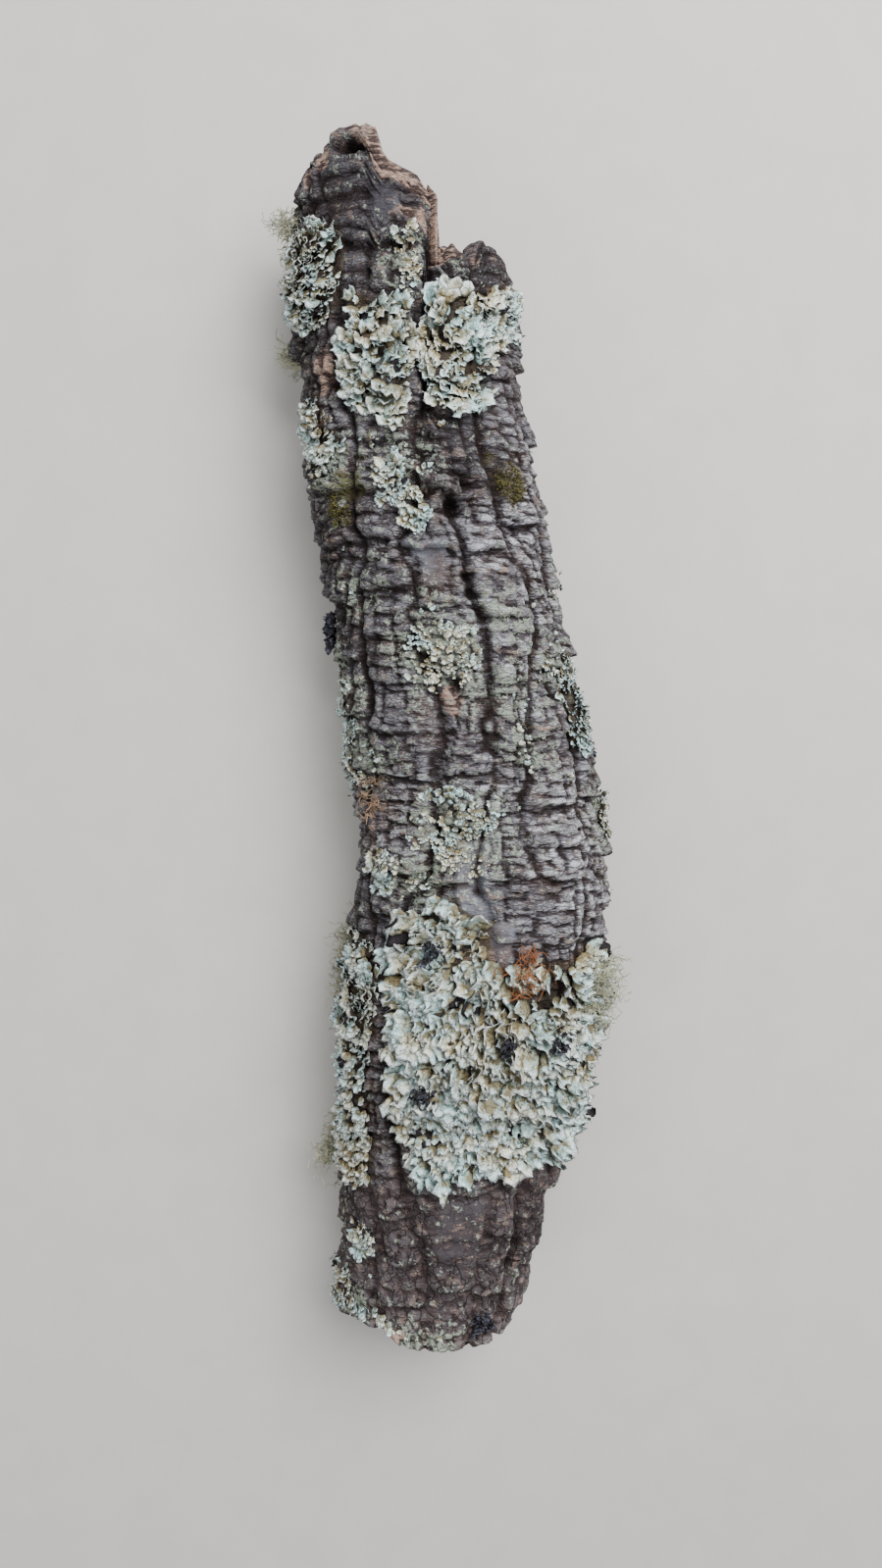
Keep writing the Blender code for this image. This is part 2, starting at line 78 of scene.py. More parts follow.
# Where the branch's own middle falls in the frame.
MIDDLE_X = -0.0055
MIDDLE_Y = 0.0007

# The branch's line and thickness: along, centre in X, half width, half height.
STATIONS = (
    (-0.310, -0.009, 0.053, 0.041), (-0.250, 0.001, 0.056, 0.042), (-0.200, 0.007, 0.061, 0.044),
    (-0.150, 0.013, 0.065, 0.046), (-0.110, 0.019, 0.067, 0.047), (-0.060, 0.022, 0.066, 0.047),
    (0.000, 0.016, 0.063, 0.045), (0.050, 0.007, 0.061, 0.044), (0.100, -0.002, 0.059, 0.044),
    (0.150, -0.010, 0.059, 0.044), (0.200, -0.017, 0.055, 0.042), (0.250, -0.018, 0.055, 0.041),
    (0.315, -0.022, 0.053, 0.040),
)

# How far the plain section reaches below the floor, where the bark is worn flat, and the wall's thickness.
SETTLE = 0.0015
WALL = 0.0145

# The furrows of the upper side, from the left one to the right one: along, around, depth.
FURROWS = (
    ((-0.300, -76, 0.004), (-0.240, -84, 0.004), (-0.190, -94, 0.005), (-0.135, -98, 0.005),
     (-0.085, -104, 0.006), (-0.030, -98, 0.005), (0.020, -90, 0.005), (0.080, -80, 0.004),
     (0.150, -72, 0.005), (0.300, -78, 0.004)),
    ((-0.295, -28, 0.004), (-0.240, -43, 0.005), (-0.190, -57, 0.005), (-0.135, -57, 0.005),
     (-0.085, -60, 0.005), (-0.055, -69, 0.005), (-0.030, -63, 0.006), (0.030, -50, 0.006),
     (0.070, -45, 0.005), (0.110, -40, 0.005), (0.150, -34, 0.005), (0.215, -38, 0.004),
     (0.300, -42, 0.002)),
    ((-0.290, -3, 0.004), (-0.235, -17, 0.006), (-0.210, -25, 0.008), (-0.185, -34, 0.009),
     (-0.155, -39, 0.008), (-0.125, -38, 0.006), (-0.100, -40, 0.006), (-0.070, -36, 0.005),
     (-0.045, -27, 0.005), (-0.020, -18, 0.005), (0.005, -14, 0.006), (0.040, -14, 0.006),
     (0.080, -15, 0.003), (0.115, -13, 0.003), (0.150, -3, 0.006), (0.180, 7, 0.008), (0.245, 14, 0.007),
     (0.275, 20, 0.006)),
    ((-0.290, 25, 0.004), (-0.240, 24, 0.003), (-0.180, 16, 0.003), (-0.130, 11, 0.003), (-0.085, 5, 0.003),
     (-0.055, -2, 0.004), (-0.020, 4, 0.003), (0.015, 10, 0.004), (0.045, 13, 0.007), (0.070, 15, 0.009),
     (0.095, 18, 0.009), (0.105, 16, 0.008), (0.125, 11, 0.007), (0.160, 11, 0.004), (0.245, 24, 0.003)),
    ((-0.290, 49, 0.008), (-0.260, 49, 0.009), (-0.230, 44, 0.008), (-0.205, 42, 0.007), (-0.175, 43, 0.005),
     (-0.130, 36, 0.004), (-0.080, 26, 0.004), (-0.030, 22, 0.004), (0.020, 27, 0.005), (0.040, 32, 0.005),
     (0.065, 42, 0.005), (0.095, 50, 0.006), (0.110, 43, 0.006), (0.140, 36, 0.006), (0.180, 35, 0.004),
     (0.245, 40, 0.004)),
    ((-0.285, 81, 0.005), (-0.250, 79, 0.005), (-0.215, 69, 0.005), (-0.180, 65, 0.004), (-0.135, 57, 0.005),
     (-0.090, 53, 0.005), (-0.025, 55, 0.005), (0.010, 59, 0.006), (0.040, 64, 0.005), (0.065, 69, 0.005),
     (0.130, 71, 0.006), (0.190, 73, 0.005), (0.245, 80, 0.004)),
)

# The furrows of the lower side, which the photograph doesn't show: how many, and how deep.
HIDDEN_FURROWS = 7
HIDDEN_FURROW_DEPTH = 0.005
RIBS = len(FURROWS) + HIDDEN_FURROWS

# How wide a furrow is, and the most of its depth that is filled in.
FURROW_WIDTH = 0.0034
MOST_FILLED = 0.0030

# How far a rib's middle stands up, how far its plates tilt and differ, and the deepest that all this goes.
CROWN = 0.0012
LEDGE = 0.0020
PLATE = 0.0016
DEEPEST = -0.0095

# Where the furrowed bark turns into the scaly foot: distances from the middle towards the sawn end.
FOOT_START = 0.195
FOOT_FULL = 0.215

# The outlines of the two ends of the outer bark: around, along.
SAWN_OUTLINE = (
    (-180, -0.303), (-90, -0.300), (-55, -0.297), (-35, -0.300), (-10, -0.304), (20, -0.307), (45, -0.308),
    (65, -0.302), (90, -0.297), (130, -0.300), (180, -0.303),
)
BROKEN_OUTLINE = (
    (-180, 0.276), (-150, 0.268), (-120, 0.278), (-90, 0.275), (-62, 0.287), (-43, 0.297), (-28, 0.304),
    (-16, 0.302), (-11, 0.288), (-4, 0.284), (7, 0.279), (15, 0.270), (17, 0.245), (24, 0.247), (41, 0.244),
    (44, 0.254), (49, 0.254), (60, 0.251), (80, 0.246), (88, 0.239), (110, 0.250), (140, 0.260),
    (180, 0.276),
)

# How wide the bevel of torn cork is along the broken end: around, width. It drops as far as BEVEL_DROP.
BEVEL = (
    (-180, 0.003), (-60, 0.002), (-30, 0.002), (-20, 0.005), (-14, 0.010), (5, 0.010), (14, 0.007),
    (17, 0.005), (24, 0.003), (40, 0.001), (60, 0.002), (88, 0.003), (180, 0.003),
)
BEVEL_DROP = 0.0032

# How much of the broken end shows fresh cork rather than dark weathered bark: around, share.
FRESH = (
    (-180, 0.6), (-95, 0.5), (-70, 0.15), (-30, 0.20), (-20, 0.55), (-12, 1.0), (16, 1.0), (26, 0.9),
    (38, 0.5), (44, 0.05), (58, 0.15), (70, 0.7), (100, 0.7), (180, 0.6),
)

# How far the torn face and the sawn face bulge within the wall, and the twist between the torn face's edges.
BROKEN_LIP = 0.0035
SAWN_LIP = 0.0020
BROKEN_LIP_TURN = 3.0

# The grid of the outer bark: even rows up to the broken part, then rows that reach the broken end.
BROKEN_END_START = 0.200
PLAIN_LENGTH = 0.503
BROKEN_LENGTH = 0.072
NEAR_BROKEN_END = 0.265
END_RADIUS = 0.055
WHOLE_RIBS = (-0.28, 0.24)
USUAL_RADIUS = 0.0535
UPPER_SIDE = 105

# Swellings and pits: around, along, radius, height.
LUMPS = (
    (10, 0.141, 0.015, 0.0060), (-30, 0.020, 0.022, 0.0020), (40, -0.065, 0.018, 0.0025),
    (-62, 0.240, 0.018, 0.0030), (12.5, 0.127, 0.006, -0.0070), (21, 0.141, 0.006, -0.0060),
    (3, 0.149, 0.005, -0.0040), (-26, 0.298, 0.006, -0.0050), (47, 0.120, 0.008, -0.0030),
)

# The knot: around, along, and the distances of its two rings of furrow from its middle.
KNOT = (9.0, 0.1365, 0.0068, 0.0120)

# Steep-sided holes: around, along, radius, depth.
HOLES = (
    (-26, 0.297, 0.0042, 0.0080), (13.5, 0.1277, 0.0046, 0.0085), (-2, 0.1345, 0.0040, 0.0035),
    (20, 0.138, 0.0034, 0.0050), (-3, 0.0425, 0.0042, 0.0060), (-4, 0.251, 0.0034, 0.0040),
    (-12, -0.030, 0.0030, 0.0025), (48, 0.039, 0.0040, 0.0040), (17, 0.094, 0.0030, 0.0045),
    (18, 0.086, 0.0032, 0.0045), (16, 0.077, 0.0028, 0.0040), (10, 0.235, 0.0036, 0.0040),
    (-40, 0.188, 0.0044, 0.0040), (-9, 0.020, 0.0026, 0.0030), (-22, 0.112, 0.0024, 0.0020),
    (-62, 0.075, 0.0040, 0.0030), (30, 0.204, 0.0024, 0.0020), (-2, -0.060, 0.0022, 0.0020),
    (44, 0.200, 0.0036, 0.0030), (51, -0.255, 0.0030, 0.0040), (52, -0.268, 0.0030, 0.0040),
    (120, 0.080, 0.0040, 0.0040), (-130, -0.100, 0.0040, 0.0040), (140, -0.060, 0.0040, 0.0030),
)

# Plates of smooth, unbroken bark: around, along, half width, half length.
SMOOTH_PLATES = (
    (-5, -0.056, 0.0080, 0.020), (4, -0.085, 0.0110, 0.010), (-3, 0.100, 0.0050, 0.010),
    (8, -0.240, 0.0090, 0.014), (-6, 0.270, 0.0060, 0.008), (130, 0.010, 0.0100, 0.025),
)

# Raised flakes with a curled pale edge: around, along, half width, half length, height.
FLAKES = (
    (10, -0.0445, 0.0090, 0.0180, 0.0022), (38, -0.036, 0.0085, 0.0130, 0.0018),
    (44, -0.072, 0.0085, 0.0150, 0.0016), (33, 0.070, 0.0140, 0.0120, 0.0020),
    (-25, -0.020, 0.0120, 0.0140, 0.0012), (24, 0.108, 0.0100, 0.0120, 0.0016),
    (-60, -0.020, 0.0090, 0.0110, 0.0014), (5, 0.262, 0.0060, 0.0120, 0.0016),
    (36, 0.030, 0.0100, 0.0100, 0.0014),
)

# Spots where the bark is torn down to tan cork: around, along, radius.
TORN_SPOTS = (
    (-7, 0.0350, 0.0050), (-45, 0.196, 0.0050), (-48, 0.186, 0.0030), (-58, 0.178, 0.0036),
    (6, 0.262, 0.0036), (-63, -0.040, 0.0045), (-40, 0.292, 0.0036), (-52, 0.286, 0.0030),
    (45, -0.298, 0.0036), (-20, -0.300, 0.0034),
)

# Where the bark is browner, or darker, than elsewhere: around, along, radius, strength.
EARTH_SPOTS = (
    (-50, 0.195, 0.022, 0.9), (-70, 0.120, 0.030, 0.5), (-62, -0.040, 0.020, 0.9), (-42, -0.140, 0.030, 1.0),
    (-38, -0.180, 0.030, 1.0), (65, -0.200, 0.020, 0.7), (-45, 0.260, 0.016, 0.5), (150, 0.150, 0.050, 0.6),
    (-120, 0.120, 0.050, 0.6), (120, -0.120, 0.050, 0.6), (-150, -0.100, 0.050, 0.6),
)
# The dark spots: partly dark weathered bark, partly painted shade down the left side, away from the key
# light.
DARK_SPOTS = (
    (-20, 0.275, 0.050, 1.0), (-15, 0.235, 0.038, 1.0), (40, 0.240, 0.028, 1.0), (12, 0.160, 0.024, 1.0),
    (24, 0.146, 0.018, 0.9), (-62, 0.150, 0.026, 0.8), (-60, 0.110, 0.028, 0.9), (-62, 0.070, 0.028, 0.9),
    (-72, 0.020, 0.024, 0.6), (-70, -0.080, 0.024, 0.7), (-55, 0.210, 0.026, 0.9),
    (90, 0.190, 0.030, 0.6), (-15, 0.090, 0.012, 0.4), (10, -0.250, 0.045, 0.9),
    (-60, -0.250, 0.040, 0.8), (60, -0.250, 0.040, 0.9), (-34, 0.010, 0.010, 0.7),
    (-25, 0.060, 0.008, 0.5), (48, 0.252, 0.014, 1.0), (150, 0.0, 0.060, 0.4), (-140, 0.100, 0.060, 0.4),
)

# Where fine crusty lichen dusts the bark: around, along, radius, strength.
CRUST_SPOTS = (
    (-6, 0.058, 0.026, 1.0), (30, 0.075, 0.016, 0.7), (25, 0.040, 0.020, 0.7), (55, 0.050, 0.020, 0.8),
    (-60, 0.010, 0.022, 0.8), (30, 0.010, 0.014, 0.9), (-10, -0.030, 0.026, 0.9), (-30, -0.055, 0.020, 0.9),
    (80, -0.025, 0.020, 0.9), (-45, 0.150, 0.022, 0.8), (-5, 0.150, 0.016, 0.8), (-45, 0.090, 0.018, 0.6),
    (-70, 0.045, 0.020, 0.7), (-52, -0.290, 0.012, 1.0), (-12, -0.303, 0.012, 1.0), (10, -0.306, 0.010, 0.9),
    (0, 0.240, 0.016, 0.6), (85, 0.090, 0.016, 0.6), (-70, -0.250, 0.016, 0.5), (125, 0.100, 0.030, 0.8),
    (-130, 0.060, 0.030, 0.8), (150, -0.120, 0.030, 0.7), (-140, -0.160, 0.030, 0.7),
    (110, -0.060, 0.030, 0.7),
)

# Where the bark is weathered pale, and where moss stains it: around, along, radius, strength.
PALE_SPOTS = (
    (24, 0.052, 0.018, 1.2), (45, 0.120, 0.024, 1.3), (60, 0.150, 0.020, 1.0), (45, -0.030, 0.028, 1.3),
    (48, -0.075, 0.024, 1.2), (60, 0.090, 0.020, 1.0), (12, -0.010, 0.016, 0.8), (-42, -0.042, 0.014, 0.9),
    (25, 0.085, 0.012, 0.9), (-15, 0.245, 0.016, 0.6), (22, 0.240, 0.010, 0.7), (-38, -0.010, 0.014, 0.6),
    (20, -0.010, 0.012, 0.6), (120, 0.040, 0.040, 0.8), (-125, -0.040, 0.040, 0.7),
    (170, 0.050, 0.050, 0.6), (-150, 0.180, 0.040, 0.7),
)
MOSS_SPOTS = (
    (44, 0.141, 0.010, 1.0), (-37, 0.138, 0.010, 0.8), (38, 0.150, 0.006, 0.8), (-60, 0.004, 0.008, 0.5),
    (62, 0.028, 0.007, 0.5), (-33, 0.150, 0.008, 0.5),
)

# The leafy lichen mats, each a closed outline of (around, along).
MAT_OUTLINES = {
    "leafy_lichen_lower_mat": (
        (-12, -0.062), (1, -0.078), (2, -0.097), (10, -0.098), (26, -0.096), (32, -0.097), (58, -0.092),
        (90, -0.110), (104, -0.150), (96, -0.190), (75, -0.204), (61, -0.203), (38, -0.197), (28, -0.207),
        (16, -0.201), (1, -0.214), (-18, -0.197), (-31, -0.187), (-34, -0.159), (-35, -0.125), (-40, -0.104),
        (-42, -0.076), (-26, -0.069)),
    "leafy_lichen_lower_left_strip": (
        (-84, -0.088), (-46, -0.091), (-46, -0.124), (-48, -0.151), (-51, -0.179), (-40, -0.197),
        (-39, -0.212), (-53, -0.224), (-78, -0.216), (-90, -0.183), (-88, -0.145), (-88, -0.120)),
    "leafy_lichen_upper_left_mat": (
        (-32, 0.225), (-15, 0.227), (0, 0.222), (7, 0.213), (5, 0.200), (2, 0.185), (-3, 0.176), (-4, 0.164),
        (-12, 0.164), (-18, 0.174), (-33, 0.177), (-34, 0.195), (-28, 0.214)),
    "leafy_lichen_upper_right_mat": (
        (15, 0.228), (37, 0.233), (60, 0.237), (72, 0.226), (68, 0.212), (54, 0.204), (40, 0.194),
        (36, 0.176), (23, 0.173), (11, 0.176), (10, 0.190), (12, 0.206)),
    "leafy_lichen_left_shoulder": (
        (-44, 0.268), (-34, 0.260), (-33, 0.240), (-36, 0.226), (-50, 0.212), (-70, 0.222), (-94, 0.236),
        (-90, 0.250), (-70, 0.256), (-58, 0.266)),
    "leafy_lichen_left_cheek": (
        (-52, 0.186), (-44, 0.172), (-38, 0.154), (-56, 0.148), (-66, 0.160), (-72, 0.178)),
    "leafy_lichen_centre": ((-16, 0.075), (10, 0.075), (12, 0.056), (4, 0.040), (-18, 0.038), (-22, 0.056)),
    "leafy_lichen_waist": (
        (-30, -0.010), (-6, -0.006), (6, -0.022), (2, -0.044), (-14, -0.049), (-30, -0.038)),
    "leafy_lichen_right_edge": ((62, 0.062), (88, 0.056), (90, 0.014), (62, 0.008), (58, 0.032)),
    "leafy_lichen_left_waist": ((-86, 0.034), (-58, 0.034), (-60, -0.006), (-86, -0.008)),
    "leafy_lichen_foot": (
        (-94, -0.274), (-60, -0.270), (-50, -0.284), (-24, -0.286), (-20, -0.300), (-94, -0.300)),
    "leafy_lichen_far_side_upper": ((112, 0.202), (138, 0.196), (144, 0.170), (128, 0.154), (108, 0.165)),
    "leafy_lichen_far_side_lower": (
        (-136, 0.012), (-112, 0.022), (-104, -0.010), (-118, -0.034), (-140, -0.026)),
}

# How thickly the lobes stand in a mat, where they stand thinner than elsewhere.
THIN_MATS = {
    "leafy_lichen_centre": 0.5, "leafy_lichen_left_waist": 0.5, "leafy_lichen_waist": 0.45,
    "leafy_lichen_foot": 0.45, "leafy_lichen_top_fleck": 0.4, "leafy_lichen_left_cheek": 0.8,
    "leafy_lichen_lower_left_strip": 0.65,
}

# How much of the mat bed's painted shade shows on the bark under the mats that are as thin as this or
# thinner.
THINNEST = 0.6
THIN_BED = 0.25

# Where the leafy lichens are stained ochre: around, along, radius, strength.
OCHRE_SPOTS = (
    (0, -0.088, 0.016, 1.0), (10, -0.122, 0.018, 0.9), (-22, -0.105, 0.012, 0.5), (14, -0.158, 0.020, 0.9),
    (-14, -0.178, 0.014, 0.7), (40, -0.118, 0.014, 0.7), (60, -0.150, 0.018, 0.6), (-10, 0.186, 0.010, 0.8),
    (-12, 0.212, 0.008, 0.5), (30, 0.196, 0.010, 0.7), (52, 0.214, 0.008, 0.5), (-62, 0.232, 0.012, 0.7),
    (-62, -0.205, 0.014, 0.8), (-70, -0.286, 0.012, 0.9), (-10, -0.028, 0.010, 0.5),
    (120, 0.180, 0.014, 0.6),
)

# How large lobes are, as a share of full size: in most mats, in clumps without an outline, in the others.
USUAL_LOBES = 0.8
CLUMP_LOBES = 0.65
MAT_LOBES = {
    "leafy_lichen_lower_mat": 1.60, "leafy_lichen_upper_left_mat": 1.05, "leafy_lichen_upper_right_mat": 1.05,
    "leafy_lichen_top_fleck": 0.50, "leafy_lichen_centre": 0.38, "leafy_lichen_waist": 0.42,
    "leafy_lichen_left_waist": 0.42, "leafy_lichen_foot": 0.60, "leafy_lichen_right_edge": 0.65,
    "leafy_lichen_left_cheek": 0.70,
}

# How steeply lobes may stand, in radians, up to each size: the largest and the smallest lie flattest.
STEEPEST = ((0.45, 0.22), (0.75, 0.36), (1.2, 0.52), (9.0, 0.42))

# How far the beds of the dark lichens on the lower mat are lifted, onto its lobes.
MAT_DEPTH = 0.0050

# How long a full-grown thread is, and those that rise towards the broken end: how steeply, how stretched.
THREAD_LENGTH = 0.012
RISING_THREADS = {"beard_lichen_shoulder": (2.4, 1.5)}

# The shine of every finish, all of them dry.
SHINE = 0.25

# The photograph's view: the camera stands over the branch, tipped a little towards its foot.
CAMERA_HEIGHT = 0.640
CAMERA_ALONG = 0.0564
CAMERA_TIP = 6.45
CAMERA_LENS = 26.0
SENSOR = 36.0

# What the lights face.
LIT_PLACE = (0.0, 0.0, 0.05)


def paint(red, green, blue):
    """A screen colour, 0 to 255 a channel, as the linear colour that a shader takes."""
    parts = []
    for value in (red / 255, green / 255, blue / 255):
        parts.append(value / 12.92 if value <= 0.04045 else ((value + 0.055) / 1.055) ** 2.4)
    return tuple(parts)


def colour_property(name, description, red, green, blue):
    """A colour that the sidebar shows."""
    return FloatVectorProperty(name=name, description=description, default=paint(red, green, blue), size=3,
                               min=0.0, max=1.0, subtype="COLOR")


def length_property(name, description, default):
    """A length that the sidebar shows."""
    return FloatProperty(name=name, description=description, default=default, min=0.0, unit="LENGTH",
                         subtype="DISTANCE", precision=5)


class CorkBarkLook(bpy.types.PropertyGroup):
    """Sizes and colours of the bark."""
    row_gap: length_property("Row Gap", "Distance between the bark's rows of points", 0.00118)
    column_gap: length_property("Column Gap", "Distance between its columns on the upper side", 0.00170)
    far_column_gap: length_property("Far Column Gap", "Distance between columns on the lower side", 0.0026)
    crack_depth: length_property("Crack Depth", "Depth of the narrow crack along each furrow", 0.0021)
    block_width: length_property("Block Width", "Usual width of the blocks on a rib", 0.0085)
    block_crack: length_property("Block Crack", "Depth of the cracks between blocks", 0.0018)
    layer_height: length_property("Layer Height", "Height of the fine layers across the ribs", 0.0011)
    ridge: colour_property("Ridge", "Bark on the ribs", 138, 132, 138)
    ridge_dark: colour_property("Dark Ridge", "Darker blocks", 86, 79, 84)
    # The weathered colour is partly real weathering and partly painted highlight on raised places.
    pale: colour_property("Weathered", "Weathered block tops", 216, 213, 218)
    # The furrow colour is partly the furrows' own dark colour, partly painted shade in low places, cracks and
    # holes.
    furrow: colour_property("Furrow", "Deep in the furrows and cracks", 44, 33, 30)
    earth: colour_property("Earth", "Red-brown bark low down and in the furrows", 104, 84, 78)
    smooth: colour_property("Smooth Plate", "Smooth unbroken plates", 120, 123, 132)
    torn: colour_property("Torn Cork", "Freshly torn cork", 206, 172, 152)
    # Dark bark: partly dark weathered bark at the broken end, partly painted shade down the left side.
    shade: colour_property("Dark Bark", "Dark bark at the broken end and the left side", 54, 47, 51)
    inside: colour_property("Inner Bark", "The wall of the hollow", 128, 92, 70)
    crust: colour_property("Crust", "Thin crusty lichen", 176, 184, 164)
    moss: colour_property("Moss Stain", "Mossy stain", 92, 84, 42)
    # The mat bed colour is painted shade: bark darkened under the leafy lichen mats.
    bed: colour_property("Mat Bed", "Bark under the leafy lichens", 74, 62, 48)


class CorkLichenLook(bpy.types.PropertyGroup):
    """Sizes and colours of the leafy and dark lichens."""
    lobe_length: length_property("Lobe Length", "Length of a full-grown lobe", 0.0060)
    lobe_width: length_property("Lobe Width", "Width of a full-grown lobe", 0.0094)
    lobe_thickness: length_property("Lobe Thickness", "Thickness of a lobe", 0.00028)
    lobe_wave: length_property("Lobe Wave", "How far a lobe's edge waves up and down", 0.0014)
    lobe_gap: length_property("Lobe Gap", "Least distance between the roots of full-grown lobes", 0.0028)
    ruffle: length_property("Ruffle", "How far a full-grown lobe's surface waves", 0.0020)
    ruffle_size: length_property("Ruffle Size", "How long those waves are", 0.0072)
    cream: colour_property("Cream", "Cream lobes", 246, 241, 212)
    mint: colour_property("Mint", "Mint-green lobes", 198, 240, 240)
    # The ochre colour is both the real ochre stain and painted shade at the lobes' roots and in the hollows
    # between them.
    ochre: colour_property("Ochre", "Ochre stain at the roots and in the hollows", 126, 106, 64)
    # The tip colour is a painted highlight on the lobes' raised tips.
    tip: colour_property("Tips", "Tips of the lobes", 250, 254, 250)
    underside: colour_property("Underside", "Underside of the lobes", 66, 55, 42)
    dark: colour_property("Dark Lichen", "Dark crumpled lichen", 44, 38, 40)
    # Dark bloom: a grey tone on some dark lobes, and a painted highlight on their tips.
    dark_bloom_and_highlight: colour_property("Dark Bloom", "Grey bloom on the dark lichen", 96, 96, 108)


class CorkThreadLook(bpy.types.PropertyGroup):
    """Sizes and colours of the threads, fibres and moss."""
    thread_radius: length_property("Thread Radius", "Radius of a beard lichen's thread", 0.00021)
    fibre_radius: length_property("Fibre Radius", "Radius of a fibre", 0.00022)
    beard: colour_property("Beard Lichen", "Beard lichen threads", 206, 202, 168)
    orange: colour_property("Orange Fibre", "Orange-brown fibres", 176, 108, 66)
    straw: colour_property("Straw Fibre", "Straw-coloured fibres", 176, 144, 116)
    moss_light: colour_property("Moss", "Moss shoots", 112, 104, 52)


class CorkStageLook(bpy.types.PropertyGroup):
    """The floor and the light."""
    floor: colour_property("Floor", "Plain pale floor", 216, 210, 201)
    key_power: FloatProperty(name="Key Light", description="Power of the large soft light", default=46.0,
                             min=0.0, unit="POWER")
    fill_power: FloatProperty(name="Fill Light", description="Power of the weaker light opposite",
                              default=5.0, min=0.0, unit="POWER")
    sky: FloatProperty(name="Sky", description="Strength of the even light all round", default=0.50, min=0.0)


def smooth_curve(table, along, column=1):
    """Read a smooth curve through one column of the table at the given distances along."""
    rows = np.array(sorted(table), dtype=float)
    places = rows[:, 0]
    values = rows[:, column]
    slopes = np.gradient(values, places)
    left = np.clip(np.searchsorted(places, along) - 1, 0, len(places) - 2)
    gap = places[left + 1] - places[left]
    u = np.clip((along - places[left]) / gap, 0.0, 1.0)
    start = (1 + 2 * u) * (1 - u) ** 2 * values[left] + u * (1 - u) ** 2 * gap * slopes[left]
    end = u * u * (3 - 2 * u) * values[left + 1] + u * u * (u - 1) * gap * slopes[left + 1]
    return start + end


def chance(*whole_numbers):
    """A steady scattered value from 0 to 1 for each set of whole numbers."""
    mix = np.zeros(np.broadcast(*whole_numbers).shape, dtype=np.int64)
    for number, factor in zip(whole_numbers, (73856093, 19349663, 83492791, 15485863)):
        mix = mix ^ (np.asarray(number, dtype=np.int64) * factor)
    mix = (mix ^ (mix >> 13)) * 1274126177 & 0x7FFFFFFF
    mix = (mix ^ (mix >> 15)) * 668265263 & 0x7FFFFFFF
    return (mix >> 7) / float(0x7FFFFFFF >> 7)


def swell(points, size, seed):
    """Soft bumps from -1 to 1 over points in space, of one size or of a size along each axis."""
    cells = points / np.asarray(size)
    low = np.floor(cells).astype(np.int64)
    part = cells - low
    part = part * part * (3 - 2 * part)
    total = np.zeros(points.shape[:-1])
    for dx in (0, 1):
        for dy in (0, 1):
            for dz in (0, 1):
                weight = (np.abs(1 - dx - part[..., 0]) * np.abs(1 - dy - part[..., 1])
                          * np.abs(1 - dz - part[..., 2]))
                total += weight * chance(low[..., 0] + dx, low[..., 1] + dy, low[..., 2] + dz, seed)
    return 2 * total - 1


def scales(points, size, seed):
    """Irregular cells of about one size: each point's distance to its cell's edge, and the cell's number."""
    cells = points / size
    low = np.floor(cells).astype(np.int64)
    nearest = np.full(points.shape[:-1], 9.0)
    second = np.full(points.shape[:-1], 9.0)
    number = np.zeros(points.shape[:-1])
    for dx in (-1, 0, 1):
        for dy in (-1, 0, 1):
            for dz in (-1, 0, 1):
                x, y, z = low[..., 0] + dx, low[..., 1] + dy, low[..., 2] + dz
                away = np.sqrt((x + chance(x, y, z, seed) - cells[..., 0]) ** 2
                               + (y + chance(x, y, z, seed + 1) - cells[..., 1]) ** 2
                               + (z + chance(x, y, z, seed + 2) - cells[..., 2]) ** 2)
                closer = away < nearest
                second = np.where(closer, nearest, np.minimum(second, away))
                number = np.where(closer, chance(x, y, z, seed + 3), number)
                nearest = np.minimum(nearest, away)
    return (second - nearest) * size, number


def ramp(value, low, high):
    """0 below low, 1 above high, smooth between."""
    part = np.clip((value - low) / (high - low), 0.0, 1.0)
    return part * part * (3 - 2 * part)


def furrow_around(index, along):
    """The angle of one furrow, counted from the left one round to itself again."""
    last = len(FURROWS) - 1
    if index <= last:
        return smooth_curve(FURROWS[index], along)
    turn = smooth_curve(FURROWS[0], along) + 360.0
    share = (index - last) / (HIDDEN_FURROWS + 1)
    bend = 3.0 * np.sin(along / 0.05 + 2.1 * index) * (index < last + HIDDEN_FURROWS + 1)
    return (1 - share) * smooth_curve(FURROWS[last], along) + share * turn + bend


def column_around(rib, share, along):
    """The angle of a line that runs along a rib, at a share of the way across it."""
    return (1 - share) * furrow_around(rib, along) + share * furrow_around(rib + 1, along)


def furrow_depth(index, along):
    """The depth of one furrow."""
    index = index % RIBS
    if index < len(FURROWS):
        return smooth_curve(FURROWS[index], along, column=2)
    return HIDDEN_FURROW_DEPTH * (1 + 0.3 * np.sin(along / 0.07 + index))


def base_section(along):
    """Centre and half sizes of the branch at a distance along: x, z, half width, half height."""
    centre = smooth_curve(STATIONS, along, 1)
    half_width = smooth_curve(STATIONS, along, 2)
    half_height = smooth_curve(STATIONS, along, 3)
    return centre, half_height - SETTLE, half_width, half_height


def outward(around, along):
    """The direction straight out of the bark."""
    _, _, half_width, half_height = base_section(along)
    angle = np.radians(around)
    x = np.sin(angle) / half_width
    z = np.cos(angle) / half_height
    length = np.hypot(x, z)
    return np.stack([x / length, np.zeros_like(x), z / length], axis=-1)


def section_point(around, along, inset=0.0):
    """A point of the branch's plain oval section, moved in by inset."""
    centre, height, half_width, half_height = base_section(along)
    angle = np.radians(around)
    x = centre + (half_width - inset) * np.sin(angle)
    z = height + (half_height - inset) * np.cos(angle)
    return np.stack(np.broadcast_arrays(x, along, z), axis=-1)


def wrapped_turn(angle):
    """An angle brought between -180 and 180 degrees."""
    return (angle + 180.0) % 360.0 - 180.0


def read_round(table, around):
    """Read a table that goes round the branch at an angle."""
    rows = np.array(table)
    return np.interp(wrapped_turn(around), rows[:, 0], rows[:, 1])


def distance_to(around, along, radius, spot_around, spot_along):
    """Distance over the bark to a place, as its parts across and along."""
    return np.radians(wrapped_turn(around - spot_around)) * radius, along - spot_along


